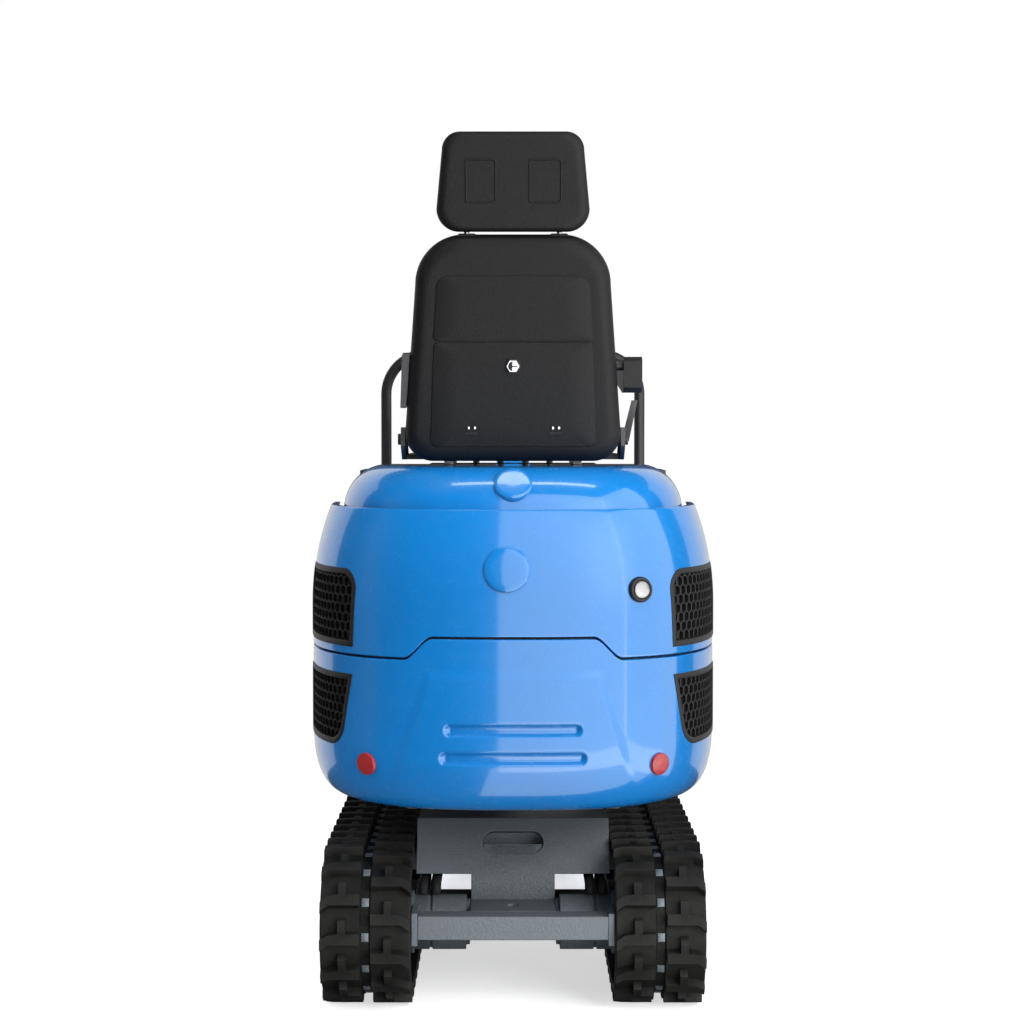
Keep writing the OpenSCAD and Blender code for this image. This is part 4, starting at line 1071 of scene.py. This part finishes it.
def lever_boots():
    """Bellows at the feet of the control levers."""
    lo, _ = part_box("control_levers")
    parts = Parts()
    profile = []
    for i in range(7):
        radius = 0.024 - 0.0018 * i
        profile += [(radius, 0.006 * i), (radius - 0.004, 0.006 * i + 0.003)]
    for x in (-0.09, -0.03, 0.03, 0.09):
        parts.add(*lathe(profile, 28, upright((x, SLEW_Y + 0.245, lo.z + 0.0005))))
    finish_piece(parts.piece("lever_boots", 60), "hose", "house")


def foot_mat():
    """Studded rubber mat on the deck, before the seat."""
    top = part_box("deck")[1].z
    x1, y0, y1 = 0.375, SLEW_Y - 0.005, SLEW_Y + 0.172
    outline = rounded_outline(x1, 0.018, x1, 0.018, y0, y1, 6)
    flat, faces = pad_form(outline, [(0.0004, 1.0), (0.003, 1.0), (0.004, 0.996)], 3)
    parts = Parts()
    parts.add(np.stack([flat[:, 0], flat[:, 2], top + flat[:, 1]], -1), faces)
    step = 0.022
    stud = [(0.0075, 0.003), (0.0068, 0.0058), (0.0058, 0.0062)]
    for row in range(7):
        for col in range(-16, 17):
            x, y = (col + 0.5 * (row % 2)) * step, y0 + step + row * step
            if abs(x) < x1 - 0.014:
                parts.add(*lathe(stud, 10, upright((x, y, top))))
    finish_piece(parts.piece("foot_mat", 50), "hose", "house")


def wheel_bolts():
    """Bolts in rings on the outer faces of the motors and idlers."""
    parts = Parts()
    wheel_z = middle_of("idlers").z
    rings = (("travel_motors", "sprockets", 0.024, 6), ("idlers", "idlers", 0.032, 5))
    for node, wheel, radius, count in rings:
        reach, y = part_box(node)[1].x, middle_of(wheel).y
        for side in (-1, 1):
            for i in range(count):
                a = 2 * math.pi * i / count
                at = (side * (reach - 0.0005), y + radius * math.cos(a), wheel_z + radius * math.sin(a))
                hex_bolt(parts, facing(at, (side, 0, 0)), 0.012, 0.006)
    finish_piece(parts.piece("wheel_bolts"), "steel", "undercarriage")


# Carried-over nodes

BEVELS = {"blue": 0.0025, "grey": 0.0025, "black_paint": 0.0018, "plastic": 0.003, "steel": 0.0015}


def dress(name, slot):
    """Gives a carried-over node its finish, with rounded edges."""
    obj = nodes[name]
    mesh = obj.data
    if "custom_normal" in mesh.attributes:
        mesh.attributes.remove(mesh.attributes["custom_normal"])
    mesh.materials.clear()
    mesh.materials.append(MATERIALS[slot])
    for polygon in mesh.polygons:
        polygon.use_smooth = True
    weld = obj.modifiers.new("weld", "WELD")
    weld.merge_threshold = 1e-5
    flat = obj.modifiers.new("flat", "DECIMATE")
    flat.decimate_type = "DISSOLVE"
    flat.angle_limit = math.radians(0.6)
    bevel = obj.modifiers.new("bevel", "BEVEL")
    bevel.width = BEVELS.get(slot, 0.0015)
    bevel.segments = 2
    bevel.limit_method = "ANGLE"
    bevel.angle_limit = math.radians(35)
    bevel.use_clamp_overlap = True
    obj.modifiers.new("normals", "WEIGHTED_NORMAL").keep_sharp = True


# Stage

CAMERA = (-0.0021, SLEW_Y - 4.7655, 1.221)
FOCAL_PX, PICTURE_PX, HORIZON_PX = 2037.0, 1024.0, 430.0


def camera():
    data = bpy.data.cameras.new("camera")
    data.sensor_width = 36.0
    data.lens = FOCAL_PX / PICTURE_PX * data.sensor_width
    obj = bpy.data.objects.new("camera", data)
    obj.location = CAMERA
    pitch = math.atan((PICTURE_PX / 2 - HORIZON_PX) / FOCAL_PX)
    obj.rotation_euler = (math.pi / 2 - pitch, 0.0, 0.0)
    bpy.context.scene.collection.objects.link(obj)
    bpy.context.scene.camera = obj


def softbox(name, centre, target, size, power, mirrored=False):
    """Area light that the camera doesn't see: it lights the machine, or else only shows in reflections."""
    data = bpy.data.lights.new(name, "AREA")
    data.shape = "RECTANGLE"
    data.size, data.size_y = size
    data.energy = power
    obj = bpy.data.objects.new(name, data)
    obj.location = centre
    obj.rotation_euler = (Vector(target) - Vector(centre)).to_track_quat("-Z", "Y").to_euler()
    obj.visible_camera = False
    obj.visible_diffuse = not mirrored
    obj.visible_glossy = mirrored
    bpy.context.scene.collection.objects.link(obj)


def floor():
    """Pale floor that fades into the white background away from the machine."""
    mat, tree, shader, coords = material("floor")
    shader.inputs["Base Color"].default_value = (0.9, 0.9, 0.9, 1.0)
    shader.inputs["Roughness"].default_value = 0.7
    shader.inputs["Emission Color"].default_value = (1.0, 1.0, 1.0, 1.0)
    path = tree.nodes.new("ShaderNodeLightPath")
    glow = span(tree, path.outputs["Is Camera Ray"], 0.0, 1.0, 0.0, 0.6)
    tree.links.new(glow, shader.inputs["Emission Strength"])
    length = tree.nodes.new("ShaderNodeVectorMath")
    length.operation = "LENGTH"
    tree.links.new(coords, length.inputs[0])
    fade = tree.nodes.new("ShaderNodeMath")
    fade.operation = "MAXIMUM"
    tree.links.new(span(tree, length.outputs["Value"], 1.0, 2.6, 0.0, 1.0), fade.inputs[0])
    tree.links.new(path.outputs["Is Glossy Ray"], fade.inputs[1])
    clear = tree.nodes.new("ShaderNodeBsdfTransparent")
    blend = tree.nodes.new("ShaderNodeMixShader")
    tree.links.new(fade.outputs["Value"], blend.inputs["Fac"])
    tree.links.new(shader.outputs["BSDF"], blend.inputs[1])
    tree.links.new(clear.outputs["BSDF"], blend.inputs[2])
    tree.links.new(blend.outputs["Shader"], tree.nodes["Material Output"].inputs["Surface"])
    reach = 4.0
    mesh = bpy.data.meshes.new("floor")
    corners = [(-reach, -reach, 0), (reach, -reach, 0), (reach, reach, 0), (-reach, reach, 0)]
    mesh.from_pydata(corners, [], [(0, 1, 2, 3)])
    mesh.materials.append(mat)
    obj = bpy.data.objects.new("floor", mesh)
    bpy.context.scene.collection.objects.link(obj)


def world():
    """White behind everything that the camera sees, dim in reflections, a plain level of light elsewhere."""
    sky = bpy.data.worlds.new("studio")
    bpy.context.scene.world = sky
    sky.use_nodes = True
    tree = sky.node_tree
    back = tree.nodes["Background"]
    back.inputs["Color"].default_value = (1.0, 1.0, 1.0, 1.0)
    path = tree.nodes.new("ShaderNodeLightPath")
    level = span(tree, path.outputs["Is Glossy Ray"], 0.0, 1.0, 0.27, 0.06)
    strength = tree.nodes.new("ShaderNodeMapRange")
    strength.inputs["To Max"].default_value = 1.0
    tree.links.new(level, strength.inputs["To Min"])
    tree.links.new(path.outputs["Is Camera Ray"], strength.inputs["Value"])
    tree.links.new(strength.outputs["Result"], back.inputs["Strength"])


def studio():
    bpy.context.scene.view_settings.view_transform = "Standard"
    camera()
    world()
    floor()
    middle = (0.0, SLEW_Y - 0.3, 0.9)
    right = 2.45
    softbox("rear_panel", (right, SLEW_Y - 5.2, 2.2), (right, SLEW_Y, 2.2), (5.2, 8.0), 250.0, True)
    softbox("right_panel", (4.9, SLEW_Y - 2.6, 2.2), (0.0, SLEW_Y - 2.6, 2.2), (5.4, 8.0), 225.0, True)
    for side in (-1, 1):
        softbox("front_panel", (side * 3.4, SLEW_Y + 4.2, 1.6), middle, (5.0, 6.0), 60.0, True)
    softbox("low_panel", (right, SLEW_Y - 3.2, -0.4), (right, SLEW_Y - 3.2, 1.0), (5.2, 4.0), 110.0, True)
    softbox("top_strip", (0.3, SLEW_Y - 1.1, 3.6), (0.3, SLEW_Y - 0.6, 1.0), (2.2, 0.35), 12.0, True)
    softbox("right_key", (3.0, SLEW_Y - 4.2, 2.4), middle, (3.0, 3.0), 300.0)
    softbox("left_fill", (-3.4, SLEW_Y - 1.2, 1.5), middle, (1.4, 3.2), 36.0)
    softbox("top", (0.0, SLEW_Y - 0.8, 4.2), middle, (3.6, 3.6), 90.0)
    softbox("front_fill", (-2.5, SLEW_Y + 5.0, 2.6), (0.0, SLEW_Y + 0.8, 0.8), (4.0, 3.0), 130.0)


studio()
counterweight()
hood()
crown()
hood_lock()
reflectors()
grilles("lower_vents", LOWER_VENT, False, "house", "lower_grilles")
grilles("upper_vents", UPPER_VENT, True, "hood", "upper_grilles")
seat_back()
headrest()
seat_cushion()
hood_seal()
slot_ledge()
pin_caps()
glands()
lever_boots()
foot_mat()
wheel_bolts()
tracks = [track("left_belt", "track_left"), track("right_belt", "track_right")]
track_windows("belt_links", tracks)

for part in frame["record"]["subparts"]:
    dress(part["node"], part["material_slot"])
